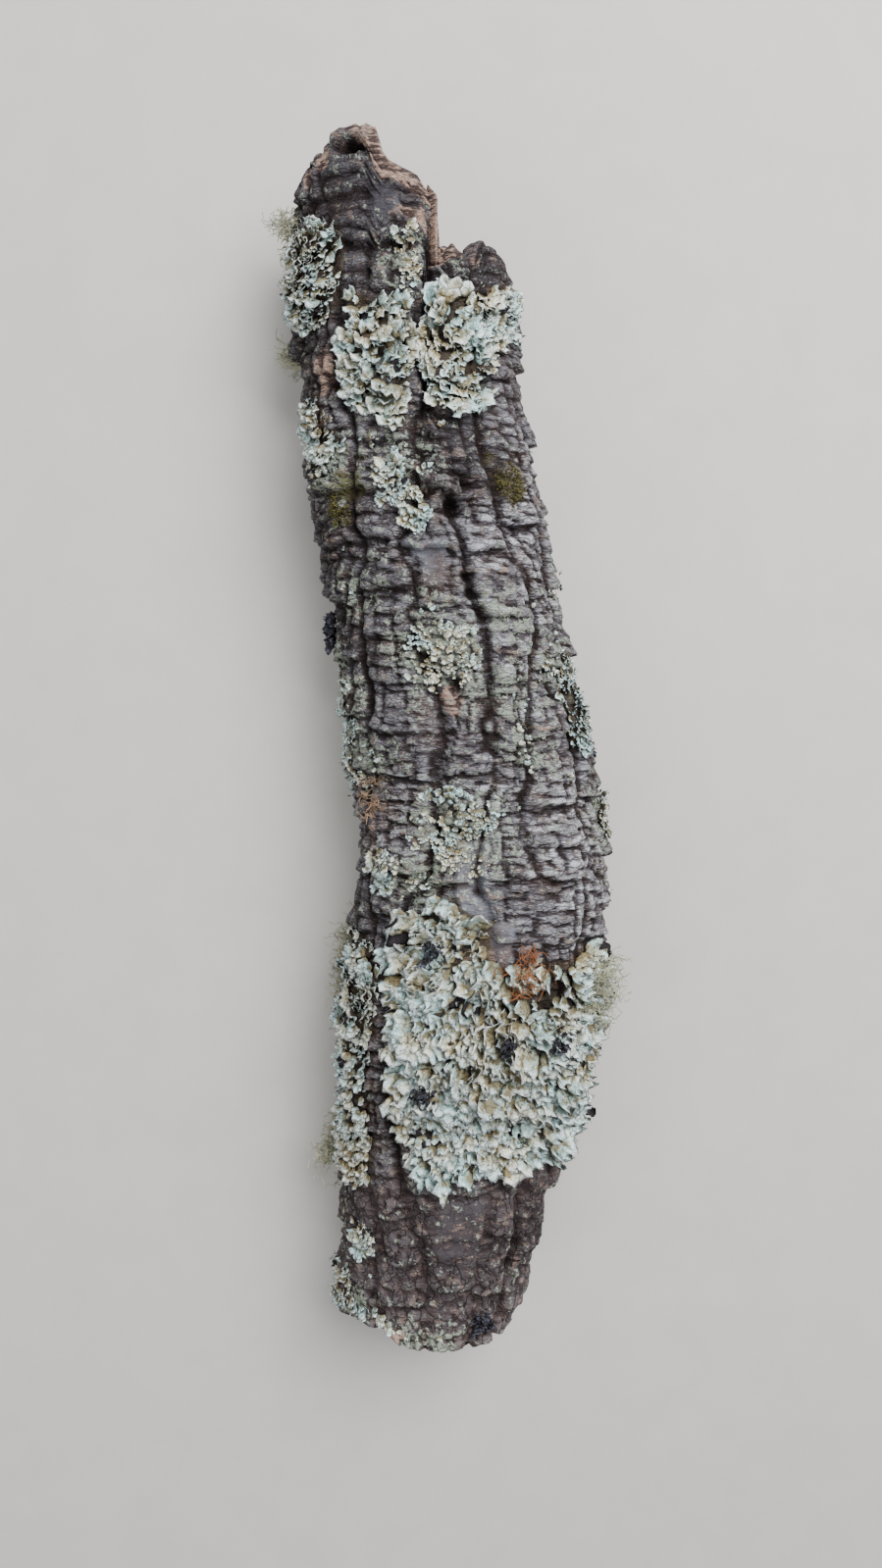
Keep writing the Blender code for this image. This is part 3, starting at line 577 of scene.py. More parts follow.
def inside_outline(outline, around, along):
    """Whether places lie inside a closed outline of places."""
    inside = np.zeros(np.shape(around), dtype=bool)
    last_around, last_along = outline[-1]
    for next_around, next_along in outline:
        crosses = (next_along > along) != (last_along > along)
        gap = last_along - next_along if last_along != next_along else 1.0
        edge = next_around + (along - next_along) / gap * (last_around - next_around)
        inside ^= crosses & (around < edge)
        last_around, last_along = next_around, next_along
    return inside


class BarkRelief:
    """The bark's outer form over a grid of places, with the marks that its material reads."""

    def __init__(self, around, along, ends, look):
        self.around = around
        self.along = along
        self.ends = ends
        self.look = look
        self.place = section_point(around, along)
        _, _, half_width, half_height = base_section(along)
        self.radius = np.sqrt(half_width * half_height)
        self.find_ribs()
        self.shape_ribs()
        self.crack_blocks()
        self.add_features()
        self.mark()

    def from_spot(self, spot_around, spot_along):
        """Distances across and along from a spot, as the wandering furrows have them."""
        return distance_to(self.bent_around, self.bent_along, self.radius, spot_around, spot_along)

    def spots(self, table):
        """How strongly each place is covered by a list of round spots."""
        cover = np.zeros(self.around.shape)
        for spot_around, spot_along, spot_radius, strength in table:
            across, up = distance_to(self.around, self.along, self.radius, spot_around, spot_along)
            cover = np.maximum(cover, strength * np.exp(-(np.hypot(across, up) / spot_radius) ** 2))
        return cover

    def find_ribs(self):
        """Which rib each place is on, with the furrow lines made to wander."""
        aside = 0.0026 * np.tanh(3.5 * swell(self.place, 0.018, 31)) + 0.0014 * swell(self.place, 0.0055, 32)
        self.bent_around = self.around + np.degrees(aside / self.radius)
        up = 0.0022 * swell(self.place, 0.012, 33) + 0.0010 * swell(self.place, 0.005, 34)
        self.bent_along = self.along + up
        lines = np.stack([furrow_around(index, self.bent_along) for index in range(RIBS + 1)])
        turned = np.where(self.bent_around < lines[0], self.bent_around + 360.0, self.bent_around)
        turned = np.where(turned >= lines[-1], turned - 360.0, turned)
        self.rib = np.clip(np.sum(turned[None] >= lines[:-1], axis=0) - 1, 0, RIBS - 1)
        left = np.take_along_axis(lines, self.rib[None], axis=0)[0]
        right = np.take_along_axis(lines, self.rib[None] + 1, axis=0)[0]
        self.across = np.clip((turned - left) / (right - left), 0.0, 1.0)
        self.rib_width = np.radians(right - left) * self.radius
        depths = np.stack([furrow_depth(index, self.bent_along) for index in range(RIBS + 1)])
        self.left_depth = np.take_along_axis(depths, self.rib[None], axis=0)[0]
        self.right_depth = np.take_along_axis(depths, self.rib[None] + 1, axis=0)[0]

    def shape_ribs(self):
        """Ribs, furrows, ledges, swellings and pits: the forms that the eye finds from a step away."""
        from_left = self.across * self.rib_width
        from_right = (1 - self.across) * self.rib_width
        body = 1 - (2 * self.across - 1) ** 4
        filled = 0.30 + 0.60 * ramp(swell(self.place, 0.026, 35), -0.35, 0.35)
        filled = np.maximum(filled, 0.85 * ramp(-self.along, FOOT_START, FOOT_FULL))
        left_depth = self.left_depth - np.minimum(filled * self.left_depth, MOST_FILLED)
        right_depth = self.right_depth - np.minimum(filled * self.right_depth, MOST_FILLED)
        furrow = left_depth * np.exp(-(from_left / FURROW_WIDTH) ** 2)
        furrow += right_depth * np.exp(-(from_right / FURROW_WIDTH) ** 2)
        step = self.bent_along / (0.022 + 0.014 * chance(self.rib, 1)) + 7.0 * chance(self.rib, 2)
        plate = np.floor(step)
        ledge = LEDGE * (1 - 2 * (step - plate)) + PLATE * (2 * chance(self.rib, plate, 3) - 1)
        self.plate_tone = chance(self.rib, plate, 4)
        height = CROWN * (1 - (2 * self.across - 1) ** 2) - furrow + ledge * body
        height += 0.0016 * swell(self.place, 0.045, 11) + 0.0013 * swell(self.place, 0.017, 12)
        for lump_around, lump_along, lump_radius, lump_height in LUMPS:
            across, up = distance_to(self.around, self.along, self.radius, lump_around, lump_along)
            height += lump_height * np.exp(-(np.hypot(across, up) / lump_radius) ** 2)
        self.form = np.maximum(height, DEEPEST)
        self.furrow = furrow
        self.body = body
        presence = 0.12 + 0.88 * ramp(swell(self.place, 0.020, 30), -0.35, 0.45)
        shallow = ramp(0.0075 - np.maximum(left_depth, right_depth), 0.0, 0.0020)
        presence *= 1 - 0.85 * shallow * ramp(-self.along, FOOT_START, FOOT_FULL)
        near = np.minimum(from_left, from_right)
        self.crack = self.look.crack_depth * presence * np.exp(-(near / 0.0013) ** 2)

    def crack_blocks(self):
        """Blocks, cross cracks and fine layers on the ribs, and small scales on the lower end."""
        look = self.look
        columns = np.maximum(1, np.round(self.rib_width.mean(axis=0, keepdims=True) / look.block_width))
        columns = np.broadcast_to(columns, self.rib.shape)
        wander = 0.30 * swell(self.place, (0.02, 0.05, 0.02), 36)
        column = self.across * columns + wander
        strip = np.floor(column)
        strip_part = column - strip
        strip_width = self.rib_width / columns
        from_strip = np.minimum(strip_part, 1 - strip_part) * strip_width
        key = self.rib * 16 + strip
        block_height = 0.0038 + 0.0066 * chance(key, 5)
        step = self.bent_along / block_height + 9.0 * chance(key, 6) + 0.5 * swell(self.place, 0.02, 37)
        block = np.floor(step)
        block_part = step - block
        from_block = np.minimum(block_part, 1 - block_part) * block_height
        joint = chance(key, block + (block_part > 0.5), 8)
        up_crack = ramp(swell(self.place, (0.014, 0.035, 0.014), 38), -0.35, 0.35)
        cracks = look.block_crack * up_crack * np.exp(-(from_strip / 0.0009) ** 2)
        cracks += look.block_crack * (0.15 + 0.85 * joint) * np.exp(-(from_block / 0.00075) ** 2)
        tops = 0.0011 * (2 * chance(key, block, 7) - 1) + 0.0009 * (1 - 2 * block_part)
        layers = np.abs(swell(self.place, (0.012, 0.0030, 0.012), 39))
        layers += 0.6 * np.abs(swell(self.place, (0.007, 0.0019, 0.007), 40))
        grain = 0.00040 * swell(self.place, 0.0060, 41) + 0.00030 * swell(self.place, 0.0030, 42)

        edge, scale_tone = scales(self.place + 0.0015 * swell(self.place, 0.006, 43)[..., None], 0.0076, 51)
        scaly = 0.0016 * np.exp(-(edge / 0.0009) ** 2) * ramp(swell(self.place, 0.012, 45), -0.7, 0.2)
        scale_tops = 0.0005 * (2 * scale_tone - 1)
        foot = ramp(-self.along + 0.010 * swell(self.place, 0.02, 44), 0.196, 0.214)
        foot = foot * (1 - 0.5 * ramp(np.abs(wrapped_turn(self.around)), 60, 100))

        calm = np.zeros(self.rib.shape)
        for plate_around, plate_along, half_width, half_length in SMOOTH_PLATES:
            across, up = self.from_spot(plate_around, plate_along)
            away = np.maximum(np.abs(across) / half_width, np.abs(up) / half_length)
            calm = np.maximum(calm, ramp(1.12 - away, 0.0, 0.14))
        self.calm = calm
        rough = (1 - 0.92 * calm) * (1 - 0.85 * foot)
        self.fine = rough * (tops - cracks - look.layer_height * layers) * (0.35 + 0.65 * self.body) + grain
        self.fine += foot * (1 - calm) * (scale_tops - scaly) + 0.0004 * calm
        self.cracks = rough * cracks + foot * (1 - calm) * scaly
        self.block_tone = (1 - foot) * chance(key, block, 9) + foot * scale_tone
        self.foot = foot

    def add_features(self):
        """The knot, steep holes, raised flakes, torn spots and the bevel of the broken end."""
        extra = np.zeros(self.rib.shape)
        knot_around, knot_along, inner_ring, outer_ring = KNOT
        across, up = self.from_spot(knot_around, knot_along)
        away = np.hypot(0.75 * across, up)
        turn = np.arctan2(up, across)
        ring = np.exp(-((away - inner_ring) / 0.0014) ** 2)
        ring = ring * (0.3 + 0.7 * ramp(np.cos(turn - 0.9), -0.2, 0.6))
        ring = np.maximum(ring, 0.6 * np.exp(-((away - outer_ring) / 0.0011) ** 2))
        extra += 0.0020 * np.exp(-(away / 0.0048) ** 2) - 0.0028 * ring
        extra += 0.0006 * np.cos(away / 0.0009 + turn) * np.exp(-(away / 0.013) ** 2)
        # Painted shade: the knot's ring furrow, each hole and the strip below each flake's lower edge are
        # marked to be darkened.
        self.painted_recess_shade = 0.8 * ring
        for hole_around, hole_along, hole_radius, depth in HOLES:
            across, up = self.from_spot(hole_around, hole_along)
            cut = np.exp(-(np.hypot(across, up) / hole_radius) ** 4)
            extra -= depth * cut
            self.painted_recess_shade = np.maximum(self.painted_recess_shade, cut)
        self.rim = np.zeros(self.rib.shape)
        for flake_around, flake_along, half_width, half_length, height in FLAKES:
            across, up = self.from_spot(flake_around, flake_along)
            away = (np.abs(across) / half_width) ** 4 + (np.abs(up) / half_length) ** 4
            lift = ramp(1.0 - away, 0.0, 0.25)
            low_edge = ramp(-up / half_length, 0.2, 0.9)
            extra += height * lift * (0.55 + 0.45 * low_edge)
            edge = np.exp(-((away - 0.85) / 0.18) ** 2) * low_edge
            self.rim = np.maximum(self.rim, edge)
            # Painted shadow below the flake's lifted lower edge.
            self.painted_recess_shade = np.maximum(self.painted_recess_shade, 0.7 * np.exp(-((away - 1.25) / 0.20) ** 2) * low_edge)
        self.torn = np.zeros(self.rib.shape)
        for torn_around, torn_along, torn_radius in TORN_SPOTS:
            across, up = self.from_spot(torn_around, torn_along)
            patch = ramp(1.15 - np.hypot(across, up * 0.7) / torn_radius, 0.0, 0.25)
            extra -= 0.0007 * patch
            self.torn = np.maximum(self.torn, patch)
        width = read_round(BEVEL, self.around) * (1.0 + 0.45 * swell(self.place, 0.007, 65))
        bevel = ramp(1.0 - (self.ends - self.along) / width, 0.0, 1.0)
        extra -= BEVEL_DROP * bevel ** 1.5
        extra += 0.0009 * bevel * swell(self.place, (0.0060, 0.0028, 0.0060), 66)
        fresh = read_round(FRESH, self.around)
        torn_bevel = ramp(bevel + 0.25 * swell(self.place, 0.0045, 67), 0.15, 0.45)
        self.torn = np.maximum(self.torn, fresh * torn_bevel)
        self.extra = extra

    def mark(self):
        """What the material needs to know of each place."""
        speckle = swell(self.place, 0.0055, 61) + 0.7 * swell(self.place, 0.0026, 62)
        crust = self.spots(CRUST_SPOTS)
        self.crust = np.clip(crust + 0.35 * speckle - 0.10 * self.furrow / 0.004, 0.0, 1.0)
        streak = swell(self.place, (0.010, 0.0035, 0.010), 63)
        pale = 0.32 + 0.80 * self.spots(PALE_SPOTS)
        pale = ramp(pale * (0.45 + 0.9 * self.block_tone) + 0.35 * streak, 0.40, 1.0)
        self.pale = pale * (1 - 0.8 * self.foot)
        moss = self.spots(MOSS_SPOTS)
        self.moss = ramp(moss + 0.35 * speckle, 0.35, 0.8)
        # Depth: partly the dark colour of the furrows and cracks, partly painted shade that grows with their
        # depth and fills the holes.
        self.depth = np.clip((0.22 * self.furrow + 0.85 * self.crack + 1.3 * self.cracks) / 0.0036, 0.0, 1.0)
        self.depth = np.maximum(self.depth, 0.95 * self.painted_recess_shade)
        low = ramp(-self.along + 0.02 * swell(self.place, 0.03, 64), 0.190, 0.225)
        gutter = np.clip(self.furrow / 0.0045, 0.0, 1.0) * ramp(-self.along, 0.05, 0.15)
        earth = self.spots(EARTH_SPOTS)
        self.earth = np.clip(np.maximum(0.75 * low + 0.9 * gutter, earth + 0.25 * speckle), 0.0, 1.0)
        # The shade mark: dark weathered bark, and painted shade down the left side.
        dark = self.spots(DARK_SPOTS)
        self.pale = self.pale * (1 - 0.7 * dark)
        self.shade = np.clip(dark + 0.20 * speckle * (dark > 0.05), 0.0, 1.0)
        tone = 0.55 * self.block_tone + 0.25 * self.plate_tone + 0.25 + 0.25 * speckle - 0.40 * dark
        self.tone = np.clip(tone, 0.0, 1.0)

    def height(self):
        """How far the finished surface stands out of the plain section."""
        return np.maximum(self.form - self.crack + self.fine + self.extra, -0.0125)

    def peaks(self):
        """How far each place stands above (near 1) or below (near 0) the places round it."""
        height = self.height()
        rows = np.pad(height, ((3, 3), (0, 0)), mode="edge")
        level = sum(rows[step:step + len(height)] for step in range(7)) / 7
        level = sum(np.roll(level, side, axis=1) for side in range(-2, 3)) / 5
        return np.clip(0.5 + 0.5 * (height - level) / 0.0009, 0.0, 1.0)

    def bed(self):
        """How far a growth's bed stands out: the main forms with their furrows part filled."""
        return np.maximum(self.form + 0.35 * self.furrow + np.minimum(self.extra, 0.0), -0.0060) + 0.0004


def column_places(look):
    """The columns of the bark's grid: rib and share across it, closer together on the upper side."""
    columns = []
    for rib in range(RIBS):
        middle = column_around(rib, 0.5, np.zeros(1))[0]
        along = np.linspace(*WHOLE_RIBS, 40)
        width = np.radians(furrow_around(rib + 1, along) - furrow_around(rib, along)).mean() * USUAL_RADIUS
        gap = look.column_gap if abs(wrapped_turn(middle)) < UPPER_SIDE else look.far_column_gap
        count = max(4, int(round(width / gap)))
        columns += [(rib, step / count) for step in range(count)]
    return columns


def bark_places(look):
    """The angle and distance along of every point of the outer bark's grid."""
    columns = column_places(look)
    near_top = np.array([NEAR_BROKEN_END])
    plain_rows = int(round(PLAIN_LENGTH / look.row_gap))
    broken_rows = int(round(BROKEN_LENGTH / look.row_gap))
    around = np.zeros((plain_rows + broken_rows + 1, len(columns)))
    along = np.zeros_like(around)
    for index, (rib, share) in enumerate(columns):
        edge = column_around(rib, share, near_top)[0]
        tip = np.array([[math.sin(math.radians(edge)), math.cos(math.radians(edge)), 0.0]]) * END_RADIUS
        ragged = (0.0028 * swell(tip, 0.012, 71) + 0.0026 * swell(tip, 0.0050, 72))[0]
        start = read_round(SAWN_OUTLINE, edge) + 0.4 * ragged
        end = read_round(BROKEN_OUTLINE, edge) + ragged
        plain = np.linspace(start, BROKEN_END_START, plain_rows + 1)
        broken = np.linspace(BROKEN_END_START, end, broken_rows + 1)[1:]
        along[:, index] = np.concatenate([plain, broken])
        around[:, index] = column_around(rib, share, along[:, index])
    return around, along


def raised(around, along, height):
    """Points of the bark lifted off the plain section, none below the ground."""
    points = section_point(around, along) + outward(around, along) * height[..., None]
    points[..., 2] = np.maximum(points[..., 2], 0.0)
    return points


def in_frame(points):
    """Points moved from the branch's own middle to the frame."""
    return points + np.array([MIDDLE_X, MIDDLE_Y, 0.0])


def end_rings(outer, around, shares, reach, seed):
    """Rings across the wall at an end of the branch, with torn or sawn unevenness."""
    rings = []
    for share in shares:
        inner = section_point(around, outer[:, 1], WALL)
        ring = outer + (inner - outer) * share
        rough = 0.0022 * swell(ring, 0.0060, seed) + 0.0013 * swell(ring, 0.0027, seed + 1)
        ring[:, 1] = reach(share) + rough * min(1.0, 4 * share)
        rings.append(ring)
    return rings


def store(mesh, name, values):
    """Keep one number, or one direction, for each point of a mesh."""
    values = np.asarray(values, dtype=np.float32)
    kind, field = ("FLOAT", "value") if values.ndim == 1 else ("FLOAT_VECTOR", "vector")
    mesh.attributes.new(name, kind, "POINT").data.foreach_set(field, values.reshape(-1))


def loft(rings):
    """Points and faces of a closed skin, each ring joined to the next and the last to the first."""
    count = len(rings[0])
    grid = np.arange(len(rings) * count).reshape(len(rings), count)
    here = grid
    beside = np.roll(grid, -1, axis=1)
    above = np.roll(grid, -1, axis=0)
    across = np.roll(beside, -1, axis=0)
    faces = np.stack([beside, here, above, across], axis=-1).reshape(-1, 4)
    return np.concatenate(rings), faces


def new_piece(name, points, faces, material):
    """A smooth-shaded object at the origin, from points in the frame."""
    mesh = bpy.data.meshes.new(name)
    mesh.from_pydata(np.asarray(points).tolist(), [], np.asarray(faces).tolist(), shade_flat=False)
    mesh.update()
    mesh.materials.append(material)
    piece = bpy.data.objects.new(name, mesh)
    bpy.context.scene.collection.objects.link(piece)
    return piece


class Graph:
    """A few short ways to write a node tree."""

    def __init__(self, tree):
        self.tree = tree

    def add(self, kind, inputs=None, **settings):
        """A node with its settings, and its inputs set or linked."""
        node = self.tree.nodes.new(kind)
        for setting, value in settings.items():
            setattr(node, setting, value)
        for key, value in (inputs or {}).items():
            if isinstance(value, bpy.types.NodeSocket):
                self.tree.links.new(value, node.inputs[key])
            else:
                node.inputs[key].default_value = value
        return node

    def blend(self, share, first, second):
        """One colour turning into another by a share."""
        inputs = {0: share}
        for index, colour in ((6, first), (7, second)):
            inputs[index] = colour if isinstance(colour, bpy.types.NodeSocket) else (*colour, 1.0)
        return self.add("ShaderNodeMix", inputs, data_type="RGBA").outputs[2]

    def out(self, kind, inputs=None, **settings):
        """The first output of a new node."""
        return self.add(kind, inputs, **settings).outputs[0]

    def step(self, operation, first, second):
        """One step of arithmetic."""
        return self.out("ShaderNodeMath", {0: first, 1: second}, operation=operation)

    def times(self, first, second):
        """The product of two numbers."""
        return self.step("MULTIPLY", first, second)

    def plus(self, first, second):
        """The sum of two numbers."""
        return self.step("ADD", first, second)

    def minus(self, first, second):
        """The difference of two numbers."""
        return self.step("SUBTRACT", first, second)

    def larger(self, first, second):
        """The larger of two numbers."""
        return self.step("MAXIMUM", first, second)

    def grade(self, value, low, high, to_low=0.0, to_high=1.0):
        """A value stretched from one range to another, and held inside it."""
        return self.out("ShaderNodeMapRange", {"Value": value, "From Min": low, "From Max": high,
                                               "To Min": to_low, "To Max": to_high})

    def mark(self, name):
        """A number kept on the mesh."""
        return self.add("ShaderNodeAttribute", attribute_name=name, attribute_type="GEOMETRY").outputs["Fac"]

    def noise(self, vector, scale, detail=3.0, roughness=0.6):
        """Soft mottling in object space."""
        return self.add("ShaderNodeTexNoise", {"Vector": vector, "Scale": scale, "Detail": detail,
                                               "Roughness": roughness}).outputs["Fac"]

    def crack_lines(self, scale, width, bend):
        """Thin irregular cracks between cells: 1 on a crack, 0 off it."""
        place = self.stretched(scale)
        wave = self.add("ShaderNodeTexNoise", {"Vector": place, "Scale": 0.9, "Detail": 2.0}).outputs["Color"]
        push = self.out("ShaderNodeVectorMath", {0: wave, "Scale": bend}, operation="SCALE")
        bent = self.out("ShaderNodeVectorMath", {0: place, 1: push}, operation="ADD")
        cells = self.add("ShaderNodeTexVoronoi", {"Vector": bent, "Scale": 1.0}, feature="DISTANCE_TO_EDGE")
        return self.grade(cells.outputs["Distance"], 0.0, width, 1.0, 0.0)

    def stretched(self, scale=(1.0, 1.0, 1.0)):
        """Object coordinates, multiplied along each axis."""
        place = self.add("ShaderNodeTexCoord").outputs["Object"]
        return self.out("ShaderNodeMapping", {"Vector": place, "Scale": scale})

    def finish(self, colour, roughness, height=None, strength=1.0, depth=0.0):
        """Give a material's shader its colour, its roughness and its bump."""
        shader = self.tree.nodes["Principled BSDF"]
        shader.inputs["Specular IOR Level"].default_value = SHINE
        shader.inputs["Roughness"].default_value = roughness
        self.tree.links.new(colour, shader.inputs["Base Color"])
        if height is not None:
            bump = self.out("ShaderNodeBump", {"Height": height, "Strength": strength, "Distance": depth})
            self.tree.links.new(bump, shader.inputs["Normal"])


def new_material(name):
    """A material and its graph."""
    material = bpy.data.materials.new(name)
    material.use_nodes = True
    return material, Graph(material.node_tree)


def bark_material(look):
    """Furrowed bark: blocks of several greys, earth, crusty lichen, moss stain and torn cork, with painted
    highlight on raised places and painted shade in low places, furrows, holes, under the mats and down the
    left side.
    """
    material, graph = new_material("cork_bark_finish")
    place = graph.stretched()
    layers = graph.noise(graph.stretched((110.0, 520.0, 110.0)), 1.0, 4.0, 0.65)
    fine_layers = graph.noise(graph.stretched((260.0, 1300.0, 260.0)), 1.0, 3.0, 0.6)
    mottle = graph.noise(place, 160.0, 5.0, 0.62)
    grain = graph.noise(place, 420.0, 5.0, 0.7)
    grit = graph.noise(place, 900.0, 4.0, 0.7)
    foot = graph.mark("foot")
    calm = graph.mark("calm")
    peak = graph.mark("peak")
    dark = graph.mark("shade")
    rough = graph.grade(calm, 0.0, 1.0, 1.0, 0.30)
    rough = graph.times(rough, graph.grade(foot, 0.0, 1.0, 1.0, 0.45))
    warmth = graph.noise(place, 48.0, 3.0, 0.55)
    block_lines = graph.crack_lines((105.0, 235.0, 105.0), 0.10, 1.4)
    fine_lines = graph.crack_lines((230.0, 620.0, 230.0), 0.12, 1.6)
    foot_lines = graph.crack_lines((150.0, 120.0, 150.0), 0.08, 1.6)
    lines = graph.larger(block_lines, graph.times(fine_lines, graph.grade(mottle, 0.40, 0.58)))
    lines = graph.times(lines, graph.grade(foot, 0.0, 1.0, 1.0, 0.25))
    lines = graph.larger(lines, graph.times(foot_lines, foot))
    lines = graph.times(lines, graph.grade(calm, 0.0, 1.0, 1.0, 0.35))

    tone = graph.plus(graph.mark("tone"), graph.grade(mottle, 0.35, 0.65, -0.35, 0.35))
    colour = graph.blend(graph.grade(tone, 0.10, 0.80), look.ridge_dark, look.ridge)
    colour = graph.blend(graph.times(calm, 0.70), colour, look.smooth)
    earth = graph.times(graph.mark("earth"), graph.grade(mottle, 0.30, 0.60, 0.45, 1.0))
    earth = graph.larger(earth, graph.grade(warmth, 0.47, 0.65, 0.0, 0.75))
    colour = graph.blend(earth, colour, look.earth)
    # Dark weathered bark, and painted shade down the left side.
    colour = graph.blend(graph.times(dark, 0.78), colour, look.shade)
    # Stand: the peaks and the fine layers, by which raised places are painted lighter and low places darker.
    stand = graph.plus(peak, graph.grade(layers, 0.35, 0.65, -0.42, 0.42))
    stand = graph.plus(stand, graph.grade(fine_layers, 0.35, 0.65, -0.20, 0.20))
    # Weathered pale: partly real weathering, partly painted highlight on raised blocks and layers.
    wear_and_highlight = graph.times(graph.grade(stand, 0.46, 0.90), graph.grade(graph.mark("pale"), 0.0, 0.8, 0.25, 1.0))
    wear_and_highlight = graph.times(wear_and_highlight, graph.grade(dark, 0.0, 1.0, 1.0, 0.22))
    wear_and_highlight = graph.times(wear_and_highlight, rough)
    colour = graph.blend(graph.times(wear_and_highlight, 0.95), colour, look.pale)
    # Painted shade: low places darkened towards the furrow colour.
    painted_low_shade = graph.times(graph.grade(stand, 0.40, 0.0), rough)
    colour = graph.blend(graph.times(painted_low_shade, 0.85), colour, look.furrow)
    colour = graph.blend(graph.times(lines, 0.72), colour, look.furrow)
    crust_patch = graph.plus(graph.mark("crust"), graph.grade(grain, 0.38, 0.62, -0.60, 0.60))
    crust_patch = graph.plus(crust_patch, graph.grade(peak, 0.0, 1.0, -0.25, 0.25))
    colour = graph.blend(graph.grade(crust_patch, 0.62, 0.85, 0.0, 0.92), colour, look.crust)
    moss_patch = graph.times(graph.mark("moss"), graph.grade(grain, 0.38, 0.58, 0.2, 1.0))
    colour = graph.blend(moss_patch, colour, look.moss)
    # Painted shade under the leafy lichen mats.
    painted_mat_shade = graph.times(graph.mark("bed"), graph.grade(mottle, 0.35, 0.60, 0.70, 1.0))
    colour = graph.blend(painted_mat_shade, colour, look.bed)
    # Painted shade by depth in the furrows, cracks and holes, over their own dark colour.
    colour = graph.blend(graph.grade(graph.mark("depth"), 0.15, 0.90, 0.0, 0.97), colour, look.furrow)
    # Torn cork: painted lighter on raised places and browner in low ones, a painted highlight and shade.
    torn = graph.blend(graph.grade(stand, 0.34, 0.70), look.earth, look.torn)
    torn_share = graph.plus(graph.mark("torn"), graph.grade(mottle, 0.38, 0.60, -0.45, 0.30))
    torn_share = graph.grade(torn_share, 0.15, 0.75)
    torn_share = graph.times(torn_share, graph.grade(layers, 0.38, 0.52, 0.45, 1.0))
    colour = graph.blend(torn_share, colour, torn)
    wall = graph.blend(graph.grade(mottle, 0.35, 0.65), look.inside, look.furrow)
    colour = graph.blend(graph.mark("inner"), colour, wall)

    height = graph.plus(graph.times(layers, 1.2), graph.times(fine_layers, 0.6))
    height = graph.times(height, rough)
    height = graph.minus(height, graph.times(lines, 0.45))
    height = graph.plus(height, graph.times(mottle, 0.5))
    height = graph.plus(height, graph.times(grit, 0.35))
    graph.finish(colour, 0.92, height, 1.0, 0.0026)
    return material


def lobe_material(name, light, second, root, edge, under, dark):
    """Lichen lobes: ochre stain and painted shade at the root, a painted highlight at the tip, painted shadow
    lines along the folds, dark beneath, and a few of them dead and dark.
    """
    material, graph = new_material(name)
    place = graph.stretched()
    broad = graph.noise(place, 55.0, 3.0, 0.55)
    stained = graph.noise(place, 120.0, 4.0, 0.6)
    mottle = graph.noise(place, 360.0, 4.0, 0.65)
    fold_shadow_lines = graph.crack_lines((170.0, 170.0, 170.0), 0.08, 1.8)
    reach = graph.mark("reach")
    tone = graph.plus(graph.grade(broad, 0.38, 0.58, -0.1, 1.1),
                     graph.grade(graph.mark("tone"), 0.0, 1.0, -0.35, 0.35))
    colour = graph.blend(graph.grade(tone, 0.0, 0.9), light, second)
    # Painted highlight: paler towards the tips, where the raised edges catch the light.
    colour = graph.blend(graph.grade(reach, 0.60, 0.95, 0.0, 0.80), colour, edge)
    # Ochre at the roots: partly the real ochre stain, partly painted shade where each lobe lies under its
    # neighbours' tips.
    stain = graph.plus(graph.grade(reach, 0.84, 0.36), graph.grade(mottle, 0.40, 0.62, -0.30, 0.25))
    stain = graph.times(stain, graph.grade(stained, 0.42, 0.58, 0.45, 1.0))
    deep = graph.times(graph.mark("stain"), 0.80)
    deep = graph.plus(deep, graph.grade(stained, 0.48, 0.66, 0.0, 0.45))
    deep = graph.times(deep, graph.grade(mottle, 0.38, 0.58, 0.40, 1.0))
    stain = graph.plus(stain, graph.times(deep, graph.grade(reach, 1.0, 0.75, 0.20, 1.0)))
    colour = graph.blend(graph.grade(stain, 0.0, 1.0, 0.0, 0.92), colour, root)
    # Painted shadow: thin dark lines in the underside colour stand in for the shadows along the lobes' folds
    # and edges.
    painted_fold_shadow = graph.times(fold_shadow_lines, graph.grade(mottle, 0.42, 0.56, 0.0, 0.60))
    colour = graph.blend(painted_fold_shadow, colour, under)
    beneath = graph.times(graph.mark("underside"), graph.grade(reach, 1.0, 0.75, 0.35, 1.0))
    colour = graph.blend(beneath, colour, under)
    colour = graph.blend(graph.grade(graph.mark("tone"), 0.975, 0.985), colour, dark)
    graph.finish(colour, 0.85, graph.minus(mottle, graph.times(fold_shadow_lines, 0.5)), 0.8, 0.0010)
    return material


def thread_material(name, colour, shade):
    """Dry threads, some darker than others."""
    material, graph = new_material(name)
    mottle = graph.noise(graph.stretched(), 300.0, 3.0, 0.6)
    share = graph.plus(graph.mark("tone"), graph.grade(mottle, 0.35, 0.65, -0.3, 0.3))
    graph.finish(graph.blend(graph.grade(share, 0.1, 0.9), colour, shade), 0.80)
    return material


def bark_marks(relief, cover):
    """The marks of the outer bark by name, one row for each row of its grid."""
    return {
        "tone": relief.tone, "peak": relief.peaks(), "pale": relief.pale, "calm": relief.calm,
        "foot": relief.foot, "earth": relief.earth, "shade": relief.shade, "crust": relief.crust,
        "moss": relief.moss, "depth": relief.depth, "torn": np.maximum(relief.torn, 0.75 * relief.rim),
        "bed": cover,
    }


def mat_cover(outline, around, along, place):
    """Which places of the bark a mat covers, its edge made lobed."""
    wide = swell(place, 0.012, 81)
    small = swell(place, 0.0050, 82)
    shifted_around = wrapped_turn(around) + 4.0 * wide + 2.0 * small
    shifted_along = along + 0.0040 * swell(place, 0.013, 83) + 0.0020 * swell(place, 0.0055, 84)
    return inside_outline(outline, shifted_around, shifted_along)


